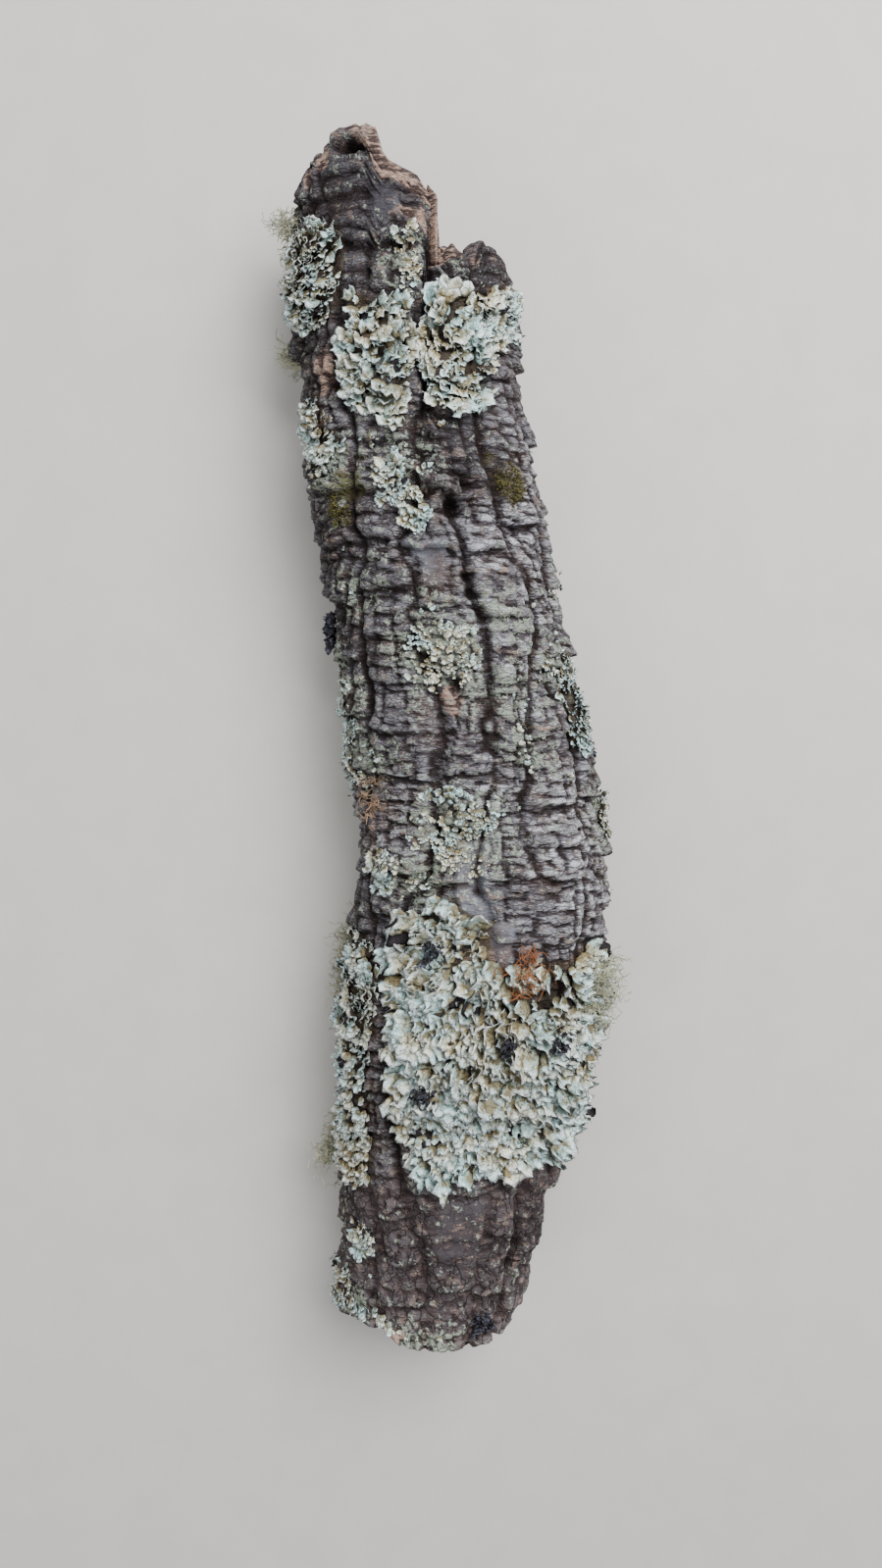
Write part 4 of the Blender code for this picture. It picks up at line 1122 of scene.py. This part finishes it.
class CORK_OT_bark(bpy.types.Operator):
    """Build the bark: outside, broken end, hollow and sawn end in one closed skin"""
    bl_idname = "cork.make_bark"
    bl_label = "Cork Bark"

    def execute(self, context):
        look = context.scene.cork_bark_look
        around, along = bark_places(look)
        relief = BarkRelief(around, along, along[-1][None], look)
        outer = raised(around, along, relief.height())
        # Where the mats lie, for the painted shade under them.
        cover = np.zeros(around.shape)
        for node, outline in MAT_OUTLINES.items():
            share = 1.0 if THIN_MATS.get(node, 1.0) > THINNEST else THIN_BED
            cover = np.maximum(cover, share * mat_cover(outline, around, along, relief.place))
        rings = [outer[row] for row in range(len(outer))]
        marks = {name: [values] for name, values in bark_marks(relief, cover).items()}
        marks["inner"] = [np.zeros(around.shape)]

        top = around[-1]
        lip = np.maximum(outer[-1][:, 1], read_round(BROKEN_OUTLINE, top - BROKEN_LIP_TURN))
        sawn = outer[0][:, 1]

        def torn_reach(share):
            return lip + BROKEN_LIP * math.sin(math.pi * min(1.0, share + 0.1) ** 0.8)

        def sawn_reach(share):
            return sawn - SAWN_LIP * math.sin(math.pi * share)

        torn_shares = (0.06, 0.14, 0.24, 0.36, 0.50, 0.66, 0.84)
        rings += end_rings(outer[-1], top, torn_shares, torn_reach, 73)
        inner_top = lip + 0.4 * BROKEN_LIP
        inner_rows = 26
        for row in range(inner_rows + 1):
            share = row / inner_rows
            reach = (1 - share) * inner_top + share * (sawn + 0.001)
            turn = (1 - share) * top + share * around[0]
            ring = section_point(turn, reach, WALL)
            dent = 0.0012 * swell(ring, 0.040, 22) + 0.0007 * swell(ring, (0.006, 0.030, 0.006), 74)
            rings.append(ring + outward(turn, reach) * dent[:, None])
        sawn_shares = (0.80, 0.55, 0.30, 0.10)
        rings += end_rings(outer[0], around[0], sawn_shares, sawn_reach, 75)
        extra = len(rings) - len(outer)
        torn_end = np.zeros(extra)
        torn_end[:len(torn_shares)] = 1.0
        torn_end[len(torn_shares):len(torn_shares) + 4] = np.linspace(0.8, 0.0, 4)
        torn_end[-len(sawn_shares):] = 0.25
        inner = np.ones(extra)
        inner[:len(torn_shares)] = 0.0
        inner[-len(sawn_shares):] = 0.5
        for name in marks:
            plain = {"tone": 0.3, "peak": 0.5}.get(name, 0.0)
            side = {"torn": torn_end, "inner": inner}.get(name, np.full(extra, plain))
            side = np.repeat(side[:, None], around.shape[1], axis=1)
            marks[name].append(side * read_round(FRESH, top) if name == "torn" else side)

        points, faces = loft(rings)
        piece = new_piece("cork_bark_skin", in_frame(points), faces, bark_material(look))
        for name, parts in marks.items():
            store(piece.data, name, np.concatenate(parts).reshape(-1))
        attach(piece, "root")
        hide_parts("cork_bark")
        return {"FINISHED"}


def lobe_shape(look, seed, curl, waves):
    """One lobe as a thin closed leaf: root at the origin, scalloped tip towards +Y, upper side towards +Z."""
    across_count, along_count = 9, 5
    u, v = np.meshgrid(np.linspace(-1, 1, across_count), np.linspace(0, 1, along_count))
    row, column = np.meshgrid(np.arange(along_count), np.arange(across_count), indexing="ij")
    shift = 6.28 * chance(seed, 1)
    width = look.lobe_width / 2 * (0.42 + 0.58 * np.sqrt(v))
    scallop = 0.12 * np.cos(u * 2.1 * math.pi + shift) + 0.09 * (2 * chance(column, seed + 9) - 1)
    x = width * (u + 0.07 * (2 * chance(row, column, seed) - 1) * v)
    y = look.lobe_length * (v * (1 - 0.34 * np.abs(u) ** 2.2 * v) + scallop * v ** 2)
    z = curl * look.lobe_length * v ** 2
    z = z + look.lobe_wave * v ** 1.5 * np.sin(u * waves * math.pi + shift)
    z = z + 0.10 * look.lobe_length * u ** 2 * v
    top = np.stack([x, y, z], axis=-1).reshape(-1, 3)
    inner = ((row > 0) & (row < along_count - 1) & (column > 0) & (column < across_count - 1)).reshape(-1)
    under = top[inner] - np.array([0.0, 0.0, look.lobe_thickness])
    grid = np.arange(len(top)).reshape(along_count, across_count)
    below = grid.copy()
    below[1:-1, 1:-1] = len(top) + np.arange(len(under)).reshape(along_count - 2, across_count - 2)
    upper = np.stack([grid[:-1, :-1], grid[:-1, 1:], grid[1:, 1:], grid[1:, :-1]], axis=-1).reshape(-1, 4)
    lower = np.stack([below[1:, :-1], below[1:, 1:], below[:-1, 1:], below[:-1, :-1]], axis=-1).reshape(-1, 4)
    reach = np.concatenate([v.reshape(-1), v.reshape(-1)[inner]])
    underside = np.concatenate([np.zeros(len(top)), np.ones(len(under))])
    return np.concatenate([top, under]), np.concatenate([upper, lower]), reach, underside


def lobe_variants(look, name, curls, splits):
    """A collection of a few different lobes, kept out of the scene."""
    collection = bpy.data.collections.new(name)
    for number, (curl, split) in enumerate(zip(curls, splits)):
        points, faces, reach, underside = lobe_shape(look, number + 3, curl, split)
        mesh = bpy.data.meshes.new(f"{name}_{number}")
        mesh.from_pydata(points.tolist(), [], faces.tolist(), shade_flat=False)
        store(mesh, "reach", reach)
        store(mesh, "underside", underside)
        collection.objects.link(bpy.data.objects.new(f"{name}_{number}", mesh))
    return collection


def thread_variants(name, length, curliness, count):
    """A collection of wavy threads, each with two side branches, kept out of the scene."""
    collection = bpy.data.collections.new(name)
    for number in range(count):
        curve = bpy.data.curves.new(f"{name}_{number}", "CURVE")
        curve.dimensions = "3D"
        for branch in range(3):
            start = 0.0 if branch == 0 else 0.25 + 0.2 * branch
            reach = length * (1.0 if branch == 0 else 0.5)
            turn = 6.28 * chance(number, branch, 2)
            lean = 0.15 if branch == 0 else 0.7
            steps = 14 if branch == 0 else 8
            spline = curve.splines.new("POLY")
            spline.points.add(steps - 1)
            for step in range(steps):
                part = step / (steps - 1)
                wave = curliness * part
                x = wave * math.sin(7 * part + turn) * length + lean * reach * part * math.cos(turn)
                z = wave * math.cos(9 * part + 2 * turn) * length + lean * reach * part * math.sin(turn)
                if branch:
                    x += curliness * start * math.sin(7 * start) * length
                spline.points[step].co = (x, start * length + reach * part, z, 1.0)
        collection.objects.link(bpy.data.objects.new(f"{name}_{number}", curve))
    return collection


def shoot_variants(name, height):
    """A collection of small moss shoots, kept out of the scene."""
    collection = bpy.data.collections.new(name)
    for number in range(3):
        lean = 0.35 * (number - 1) * height
        points = []
        for radius, up, twist, aside in ((0.12, 0.0, 0.0, 0.0), (0.16, 0.5, 0.5, 0.4)):
            for angle in (twist, twist + 2.1, twist + 4.2):
                x = radius * height * math.cos(angle) + aside * lean
                points.append((x, up * height, radius * height * math.sin(angle)))
        points.append((lean, height, 0.0))
        faces = [(0, 1, 4, 3), (1, 2, 5, 4), (2, 0, 3, 5), (3, 4, 6), (4, 5, 6), (5, 3, 6), (2, 1, 0)]
        mesh = bpy.data.meshes.new(f"{name}_{number}")
        mesh.from_pydata(points, [], [tuple(reversed(face)) for face in faces], shade_flat=False)
        collection.objects.link(bpy.data.objects.new(f"{name}_{number}", mesh))
    return collection


def drop_variants(collection):
    """Remove a collection of variants once it has been used."""
    for thing in list(collection.objects):
        bpy.data.objects.remove(thing, do_unlink=True)
    bpy.data.collections.remove(collection)


def scatter_tree(name, as_tubes):
    """A node tree that stands variants on a bed, turns them to its directions and ruffles them."""
    tree = bpy.data.node_groups.new(name, "GeometryNodeTree")
    numbers = ("Gap", "Most Per Area", "Smallest", "Largest", "Lowest Tilt", "Highest Tilt", "Turn",
               "Ruffle", "Ruffle Size", "Tube Radius")
    sockets = [("Geometry", "Geometry"), ("Variants", "Collection"), *((label, "Float") for label in numbers),
               ("Kinds", "Int"), ("Seed", "Int"), ("Material", "Material")]
    for label, kind in sockets:
        tree.interface.new_socket(name=label, in_out="INPUT", socket_type=f"NodeSocket{kind}")
    tree.interface.new_socket(name="Geometry", in_out="OUTPUT", socket_type="NodeSocketGeometry")
    graph = Graph(tree)
    inside = graph.add("NodeGroupInput").outputs

    def random_number(low, high, extra_seed):
        seed = graph.plus(inside["Seed"], float(extra_seed))
        drawn = graph.add("FunctionNodeRandomValue", {2: low, 3: high, "Seed": seed}, data_type="FLOAT")
        return drawn.outputs[1]

    def kept(name, kind):
        return graph.out("GeometryNodeInputNamedAttribute", {"Name": name}, data_type=kind)

    def rotated(rotation, angles):
        turned = graph.out("FunctionNodeEulerToRotation", {0: graph.out("ShaderNodeCombineXYZ", angles)})
        return graph.out("FunctionNodeRotateRotation", {"Rotation": rotation, "Rotate By": turned},
                         rotation_space="LOCAL")

    dots = graph.out("GeometryNodeDistributePointsOnFaces",
                     {"Mesh": inside["Geometry"], "Distance Min": inside["Gap"],
                      "Density Max": inside["Most Per Area"], "Density Factor": kept("crowd", "FLOAT"),
                      "Seed": inside["Seed"]}, distribute_method="POISSON")
    upright = graph.out("FunctionNodeAlignRotationToVector", {"Vector": kept("stand", "FLOAT_VECTOR")},
                        axis="Z")
    aimed = graph.out("FunctionNodeAlignRotationToVector",
                      {"Rotation": upright, "Vector": kept("heading", "FLOAT_VECTOR")},
                      axis="Y", pivot_axis="Z")
    tilt = random_number(inside["Lowest Tilt"], inside["Highest Tilt"], 1)
    turn = random_number(graph.times(inside["Turn"], -1.0), inside["Turn"], 2)
    roll = random_number(-0.35, 0.35, 3)
    tilted = rotated(rotated(aimed, {"Z": turn}), {"X": tilt, "Y": roll})
    scale = graph.times(random_number(inside["Smallest"], inside["Largest"], 4), kept("size", "FLOAT"))
    kinds = graph.add("FunctionNodeRandomValue", {4: 0, 5: inside["Kinds"], "Seed": inside["Seed"]},
                      data_type="INT").outputs[2]
    variants = graph.out("GeometryNodeCollectionInfo", {"Collection": inside["Variants"],
                                                        "Separate Children": True, "Reset Children": True})
    placed = graph.out("GeometryNodeInstanceOnPoints",
                       {"Points": dots, "Instance": variants, "Pick Instance": True,
                        "Instance Index": kinds, "Rotation": tilted, "Scale": scale})
    toned = graph.out("GeometryNodeStoreNamedAttribute",
                      {"Geometry": placed, "Name": "tone", "Value": random_number(0.0, 1.0, 5)},
                      data_type="FLOAT", domain="INSTANCE")
    real = graph.out("GeometryNodeRealizeInstances", {"Geometry": toned})
    fineness = graph.step("DIVIDE", 1.0, inside["Ruffle Size"])
    wave = graph.add("ShaderNodeTexNoise", {"Scale": fineness, "Detail": 2.0, "Roughness": 0.6})
    centred = graph.out("ShaderNodeVectorMath", {0: wave.outputs["Color"], 1: (0.5, 0.5, 0.5)},
                        operation="SUBTRACT")
    push = graph.out("ShaderNodeVectorMath", {0: centred, "Scale": inside["Ruffle"]}, operation="SCALE")
    shaped = graph.out("GeometryNodeSetPosition", {"Geometry": real, "Offset": push})
    if as_tubes:
        profile = graph.out("GeometryNodeCurvePrimitiveCircle",
                            {"Resolution": 3, "Radius": inside["Tube Radius"]})
        shaped = graph.out("GeometryNodeCurveToMesh", {"Curve": shaped, "Profile Curve": profile,
                                                       "Fill Caps": True})
    done = graph.out("GeometryNodeSetMaterial", {"Geometry": shaped, "Material": inside["Material"]})
    graph.add("NodeGroupOutput", {0: done})
    return tree


def grow(bed, tree, values):
    """Run a scatter tree over a bed object and keep the result as its plain mesh."""
    modifier = bed.modifiers.new("growth", "NODES")
    modifier.node_group = tree
    sockets = {item.name: item.identifier for item in tree.interface.items_tree if item.in_out == "INPUT"}
    for label, value in values.items():
        modifier[sockets[label]] = value
    bpy.context.view_layer.update()
    graph = bpy.context.evaluated_depsgraph_get()
    mesh = bpy.data.meshes.new_from_object(bed.evaluated_get(graph), preserve_all_data_layers=True,
                                           depsgraph=graph)
    bed.modifiers.remove(modifier)
    points = np.zeros(len(mesh.vertices) * 3, dtype=np.float32)
    mesh.vertices.foreach_get("co", points)
    points[2::3] = np.maximum(points[2::3], 0.0)
    mesh.vertices.foreach_set("co", points)
    mesh.update()
    old = bed.data
    bed.data = mesh
    bpy.data.meshes.remove(old)
    mesh.name = bed.name
    if not len(mesh.polygons):
        raise RuntimeError(f"{bed.name} grew nothing")
    return bed


class BarkBeds:
    """Cuts beds for growths out of a coarse grid of the bark's main forms."""

    def __init__(self, look):
        ribs = [(rib, step / 12) for rib in range(RIBS) for step in range(12)]
        rows = np.linspace(-0.299, 0.300, 260)
        self.along = np.repeat(rows[:, None], len(ribs), axis=1)
        self.around = np.stack([column_around(rib, share, rows) for rib, share in ribs], axis=1)
        self.relief = BarkRelief(self.around, self.along, read_round(BROKEN_OUTLINE, self.around), look)
        self.place = self.relief.place
        self.points = in_frame(raised(self.around, self.along, self.relief.bed()))
        self.stand = outward(self.around, self.along)
        self.real = self.along < read_round(BROKEN_OUTLINE, self.around) - 0.002
        self.real &= self.along > read_round(SAWN_OUTLINE, self.around) + 0.001

    def cut(self, name, cover, crowd, heading, size, material, stain=0.0):
        """A bed object over the covered places, with the directions, sizes and stains of what grows there."""
        beside = np.roll(np.arange(cover.shape[1]), -1)
        cover = cover & self.real
        whole = cover[:-1] & cover[1:] & cover[:-1][:, beside] & cover[1:][:, beside]
        rows, columns = np.nonzero(whole)
        if not len(rows):
            raise RuntimeError(f"no bed for {name}")
        width = cover.shape[1]
        corners = np.stack([rows * width + beside[columns], rows * width + columns,
                            (rows + 1) * width + columns, (rows + 1) * width + beside[columns]], axis=-1)
        used, faces = np.unique(corners, return_inverse=True)
        bed = new_piece(name, self.points.reshape(-1, 3)[used], faces.reshape(-1, 4), material)
        for label, values in (("crowd", crowd), ("size", size), ("stain", stain)):
            store(bed.data, label, np.broadcast_to(values, cover.shape).reshape(-1)[used])
        for label, values in (("stand", self.stand), ("heading", heading)):
            store(bed.data, label, values.reshape(-1, 3)[used])
        return bed

    def heading_from(self, cover, down=0.9, scatter=0.7):
        """Directions over the bark away from the middle of a covered patch, partly down, partly by chance."""
        middle = self.points[cover].mean(axis=0)
        away = self.points - middle
        away -= np.sum(away * self.stand, axis=-1, keepdims=True) * self.stand
        away /= np.linalg.norm(away, axis=-1, keepdims=True) + 0.004
        stray = np.stack([swell(self.place, 0.010, seed) for seed in (91, 92, 93)], axis=-1)
        return away + scatter * stray + np.array([0.0, -down, 0.0]) + 1e-4

    def around_node(self, node, widen=1.0):
        """The places that a CAD growth covers, from its box."""
        low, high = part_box(node)
        middle = np.array((low + high) / 2) - np.array([MIDDLE_X, MIDDLE_Y, 0.0])
        centre, height, half_width, half_height = [float(v) for v in base_section(middle[1])]
        turn = math.degrees(math.atan2((middle[0] - centre) / half_width, (middle[2] - height) / half_height))
        across, up = distance_to(self.around, self.along, self.relief.radius, turn, middle[1])
        half_length = widen * (high.y - low.y) / 2
        half_span = widen * max(0.006, 0.35 * math.hypot(high.x - low.x, high.z - low.z))
        bent = 0.20 * swell(self.place, 0.008, 94)
        return (across / half_span) ** 2 + (up / half_length) ** 2 < 1 + bent


BEDS = {}


def beds(context):
    """The beds, worked out once."""
    if "bark" not in BEDS:
        BEDS["bark"] = BarkBeds(context.scene.cork_bark_look)
    return BEDS["bark"]


def growths(start):
    """The CAD growths whose names have this start, in the order of their names."""
    return sorted(node for node in frame["nodes"] if node.startswith(start))


def settle(piece, node):
    """Fix a finished growth to the branch in place of its CAD solid."""
    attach(piece, "root")
    if node:
        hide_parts(node)


class CORK_OT_leafy_lichens(bpy.types.Operator):
    """Grow the pale leafy lichens: mats, small clumps and scattered flecks"""
    bl_idname = "cork.grow_leafy_lichens"
    bl_label = "Leafy Lichens"

    def execute(self, context):
        look = context.scene.cork_lichen_look
        ground = beds(context)
        tree = scatter_tree("lobe_scatter", as_tubes=False)
        variants = lobe_variants(look, "leafy_lobes", (0.04, 0.26, 0.48, 0.14), (1.5, 2.1, 1.2, 2.5))
        material = lobe_material("leafy_lichen_finish", look.cream, look.mint, look.ochre, look.tip,
                                 look.underside, look.dark)
        values = {"Variants": variants, "Most Per Area": 900000.0, "Smallest": 0.50, "Largest": 1.35,
                  "Lowest Tilt": 0.02, "Turn": 0.9, "Tube Radius": 0.0, "Kinds": 3, "Material": material}
        stain = ground.relief.spots(OCHRE_SPOTS)
        for seed, node in enumerate(growths("leafy_lichen")):
            if node in MAT_OUTLINES:
                cover = mat_cover(MAT_OUTLINES[node], ground.around, ground.along, ground.place)
                size = MAT_LOBES.get(node, USUAL_LOBES)
            else:
                cover = ground.around_node(node)
                size = MAT_LOBES.get(node, CLUMP_LOBES)
            crowd = THIN_MATS.get(node, 1.0) * np.ones(cover.shape)
            gaps = ramp(swell(ground.place, 0.0065, 95) + 0.8 * swell(ground.place, 0.0035, 96), -0.90, -0.30)
            spread = 0.92 + 0.30 * swell(ground.place, 0.015, 87)
            heading = ground.heading_from(cover, scatter=1.1)
            steepest = next(tilt for largest, tilt in STEEPEST if size <= largest)
            name = node.replace("leafy_lichen", "leafy_lobes")
            bed = ground.cut(name, cover, crowd * gaps, heading, size * spread, material, stain)
            values.update({"Seed": seed + 1, "Gap": look.lobe_gap * size,
                           "Ruffle": look.ruffle * min(size, 1.1),
                           "Ruffle Size": look.ruffle_size * size, "Highest Tilt": steepest})
            settle(grow(bed, tree, values), node)
        self.scatter_flecks(ground, tree, values, material)
        drop_variants(variants)
        return {"FINISHED"}

    def scatter_flecks(self, ground, tree, values, material):
        """Small single lobes here and there on the bark."""
        cover = ground.real & (np.abs(wrapped_turn(ground.around)) < 150)
        dust = ground.relief.spots(CRUST_SPOTS)
        clumps = 0.5 * swell(ground.place, 0.009, 97) + 0.5 * swell(ground.place, 0.004, 99)
        crowd = ramp(dust + clumps, 0.60, 1.2) * 0.75
        for outline in MAT_OUTLINES.values():
            crowd = np.where(inside_outline(outline, wrapped_turn(ground.around), ground.along), 0.0, crowd)
        heading = ground.heading_from(cover, down=0.2, scatter=2.5)
        bed = ground.cut("leafy_flecks", cover, crowd, heading, 0.36, material)
        values = {**values, "Gap": 0.0019, "Seed": 77, "Ruffle": 0.0010, "Ruffle Size": 0.0043,
                  "Lowest Tilt": 0.0, "Highest Tilt": 0.5}
        settle(grow(bed, tree, values), None)


class CORK_OT_dark_lichens(bpy.types.Operator):
    """Grow the nearly black crumpled lichens"""
    bl_idname = "cork.grow_dark_lichens"
    bl_label = "Dark Lichens"

    def execute(self, context):
        look = context.scene.cork_lichen_look
        ground = beds(context)
        tree = scatter_tree("dark_scatter", as_tubes=False)
        variants = lobe_variants(look, "dark_lobes", (0.9, 0.6, 1.2, 0.4), (1.4, 2.4, 1.8, 2.9))
        # The bloom colour also paints a highlight on the dark lobes' tips.
        material = lobe_material("dark_lichen_finish", look.dark, look.dark_bloom_and_highlight, look.dark, look.dark_bloom_and_highlight,
                                 look.dark, look.dark)
        values = {"Variants": variants, "Gap": 0.0015, "Most Per Area": 500000.0, "Smallest": 0.35,
                  "Largest": 0.70, "Lowest Tilt": 0.3, "Highest Tilt": 1.5, "Turn": 3.1, "Ruffle": 0.0040,
                  "Ruffle Size": 0.0045, "Tube Radius": 0.0, "Kinds": 3, "Material": material}
        for seed, node in enumerate(growths("dark_lichen")):
            on_mat = "mat" in node
            cover = ground.around_node(node, widen=0.55 if on_mat else 0.8)
            reach = 0.85 if on_mat else max(0.9, min(1.8, (stand_of(node) - 0.002) / 0.0060))
            heading = ground.heading_from(cover, down=0.1, scatter=1.6)
            bed = ground.cut(node.replace("dark_lichen", "dark_lobes"), cover, 1.0, heading, reach, material)
            if on_mat:
                lift_bed(bed, MAT_DEPTH)
            settle(grow(bed, tree, dict(values, Seed=seed + 31)), node)
        drop_variants(variants)
        return {"FINISHED"}


def stand_of(node):
    """How far a CAD growth stands out of the bark's plain section."""
    points = np.array([vertex.co[:] for vertex in frame["nodes"][node].data.vertices])
    points = points - np.array([MIDDLE_X, MIDDLE_Y, 0.0])
    centre, height, half_width, half_height = base_section(points[:, 1])
    stretch = np.hypot((points[:, 0] - centre) / half_width, (points[:, 2] - height) / half_height)
    return float(((stretch - 1) * np.sqrt(half_width * half_height)).max())


def lift_bed(bed, height):
    """Raise a bed along its own directions, onto what already grows there."""
    count = len(bed.data.vertices)
    points = np.zeros(count * 3, dtype=np.float32)
    stand = np.zeros(count * 3, dtype=np.float32)
    bed.data.vertices.foreach_get("co", points)
    bed.data.attributes["stand"].data.foreach_get("vector", stand)
    bed.data.vertices.foreach_set("co", points + stand * height)
    bed.data.update()


class CORK_OT_threads(bpy.types.Operator):
    """Grow the beard lichens and lay the orange and straw-coloured fibres"""
    bl_idname = "cork.grow_threads"
    bl_label = "Beard Lichens and Fibres"

    def execute(self, context):
        look = context.scene.cork_thread_look
        ground = beds(context)
        tree = scatter_tree("thread_scatter", as_tubes=True)
        # Start of the nodes' names, pieces' name, curliness, colour, shade, radius, gap, spread.
        groups = (
            ("beard_lichen", "beard_threads", 0.16, look.beard, (0.30, 0.29, 0.22), look.thread_radius,
             0.0015, 0.95),
            ("orange_fibre", "orange_fibres", 0.42, look.orange, (0.22, 0.10, 0.05), look.fibre_radius,
             0.0020, 0.62),
            ("straw_fibre", "straw_fibres", 0.30, look.straw, (0.22, 0.14, 0.09), look.fibre_radius,
             0.0022, 0.85),
        )
        for seed, (prefix, name, curliness, colour, shade, radius, gap, widen) in enumerate(groups):
            variants = thread_variants(name, THREAD_LENGTH, curliness, 4)
            material = thread_material(f"{name}_finish", colour, shade)
            for number, node in enumerate(growths(prefix)):
                cover = ground.around_node(node, widen=widen)
                reach = max(0.7, 0.9 * (stand_of(node) - 0.001) / 0.010)
                rise, stretch = RISING_THREADS.get(node, (0.0, 1.0))
                reach *= stretch
                heading = ground.heading_from(cover, down=-rise, scatter=1.2)
                bed = ground.cut(node.replace(prefix, name), cover, 1.0, heading, reach, material)
                values = {"Variants": variants, "Gap": gap, "Most Per Area": 600000.0, "Smallest": 0.45,
                          "Largest": 1.0, "Lowest Tilt": 0.25, "Highest Tilt": 1.35, "Turn": 3.1,
                          "Ruffle": 0.0060 * reach, "Ruffle Size": 0.0060, "Tube Radius": radius, "Kinds": 3,
                          "Seed": 40 + 10 * seed + number, "Material": material}
                settle(grow(bed, tree, values), node)
            drop_variants(variants)
        return {"FINISHED"}


class CORK_OT_moss(bpy.types.Operator):
    """Grow the two small moss cushions beside the knot"""
    bl_idname = "cork.grow_moss"
    bl_label = "Moss"

    def execute(self, context):
        look = context.scene.cork_thread_look
        ground = beds(context)
        tree = scatter_tree("moss_scatter", as_tubes=False)
        variants = shoot_variants("moss_shoots", 0.0022)
        material = thread_material("moss_finish", look.moss_light, paint(62, 58, 30))
        for seed, node in enumerate(growths("moss")):
            cover = ground.around_node(node, widen=0.9)
            heading = ground.heading_from(cover, down=0.0, scatter=2.0)
            crowd = ramp(swell(ground.place, 0.006, 98), -0.6, 0.3)
            bed = ground.cut(node.replace("cushion", "shoots"), cover, crowd, heading, 1.0, material)
            values = {"Variants": variants, "Gap": 0.00055, "Most Per Area": 2500000.0, "Smallest": 0.6,
                      "Largest": 1.2, "Lowest Tilt": 0.7, "Highest Tilt": 1.5, "Turn": 3.1,
                      "Ruffle": 0.0008, "Ruffle Size": 0.0020, "Tube Radius": 0.0, "Kinds": 2,
                      "Seed": 90 + seed, "Material": material}
            settle(grow(bed, tree, values), node)
        drop_variants(variants)
        return {"FINISHED"}


class CORK_OT_stage(bpy.types.Operator):
    """Lay the floor, hang the lights and set the camera at the photograph's view"""
    bl_idname = "cork.set_stage"
    bl_label = "Stage"

    def execute(self, context):
        look = context.scene.cork_stage_look
        material, graph = new_material("floor_finish")
        grain = graph.noise(graph.stretched(), 30.0, 4.0, 0.6)
        shade = tuple(0.94 * part for part in look.floor)
        graph.finish(graph.blend(graph.grade(grain, 0.3, 0.7), look.floor, shade), 0.9)
        reach = 3.0
        corners = [(-reach, -reach, 0.0), (reach, -reach, 0.0), (reach, reach, 0.0), (-reach, reach, 0.0)]
        floor = new_piece("floor", corners, [(0, 1, 2, 3)], material)

        self.add_light("key_light", (0.62, 0.80, 1.25), 1.1, look.key_power, (0.93, 0.965, 1.0))
        self.add_light("fill_light", (-0.9, -0.5, 1.1), 1.2, look.fill_power, (0.93, 0.96, 1.0))
        world = bpy.data.worlds.new("soft_sky")
        world.use_nodes = True
        background = world.node_tree.nodes["Background"]
        background.inputs["Color"].default_value = (0.88, 0.94, 1.0, 1.0)
        background.inputs["Strength"].default_value = look.sky
        context.scene.world = world

        lens = bpy.data.cameras.new("camera")
        lens.lens = CAMERA_LENS
        lens.sensor_width = SENSOR
        lens.sensor_fit = "AUTO"
        lens.clip_start = 0.01
        camera = bpy.data.objects.new("camera", lens)
        camera.location = (MIDDLE_X, CAMERA_ALONG + MIDDLE_Y, CAMERA_HEIGHT)
        camera.rotation_euler = (math.radians(-CAMERA_TIP), 0.0, 0.0)
        context.scene.collection.objects.link(camera)
        context.scene.camera = camera
        return {"FINISHED"}

    def add_light(self, name, place, size, power, colour):
        """A large square light facing the middle of the branch."""
        data = bpy.data.lights.new(name, "AREA")
        data.shape = "SQUARE"
        data.size = size
        data.energy = power
        data.color = colour
        light = bpy.data.objects.new(name, data)
        light.location = place
        x, y, z = [LIT_PLACE[axis] - place[axis] for axis in range(3)]
        light.rotation_euler = (math.atan2(math.hypot(x, y), -z), 0.0, math.atan2(y, x) - math.pi / 2)
        bpy.context.scene.collection.objects.link(light)


class CORK_PT_sidebar(bpy.types.Panel):
    """The branch's sizes, colours and buttons"""
    bl_idname = "CORK_PT_sidebar"
    bl_label = "Cork Branch"
    bl_space_type = "VIEW_3D"
    bl_region_type = "UI"
    bl_category = "Cork Branch"

    def draw(self, context):
        for group in LOOKS:
            box = self.layout.box()
            look = getattr(context.scene, group)
            for name in look.bl_rna.properties.keys():
                if name not in ("rna_type", "name"):
                    box.prop(look, name)
        for operator in OPERATORS:
            self.layout.operator(operator.bl_idname)


LOOKS = {
    "cork_bark_look": CorkBarkLook,
    "cork_lichen_look": CorkLichenLook,
    "cork_thread_look": CorkThreadLook,
    "cork_stage_look": CorkStageLook,
}
OPERATORS = (CORK_OT_bark, CORK_OT_leafy_lichens, CORK_OT_dark_lichens, CORK_OT_threads, CORK_OT_moss,
             CORK_OT_stage)


def register():
    """Register every class and give the scene its looks."""
    for kind in (*LOOKS.values(), *OPERATORS, CORK_PT_sidebar):
        bpy.utils.register_class(kind)
    for group, kind in LOOKS.items():
        setattr(bpy.types.Scene, group, PointerProperty(type=kind))


def unregister():
    """Undo register."""
    for group in LOOKS:
        delattr(bpy.types.Scene, group)
    for kind in reversed((*LOOKS.values(), *OPERATORS, CORK_PT_sidebar)):
        bpy.utils.unregister_class(kind)


def main():
    """Build every piece."""
    register()
    bpy.ops.cork.make_bark()
    bpy.ops.cork.grow_leafy_lichens()
    bpy.ops.cork.grow_dark_lichens()
    bpy.ops.cork.grow_threads()
    bpy.ops.cork.grow_moss()
    bpy.ops.cork.set_stage()


if __name__ == "__main__":
    main()
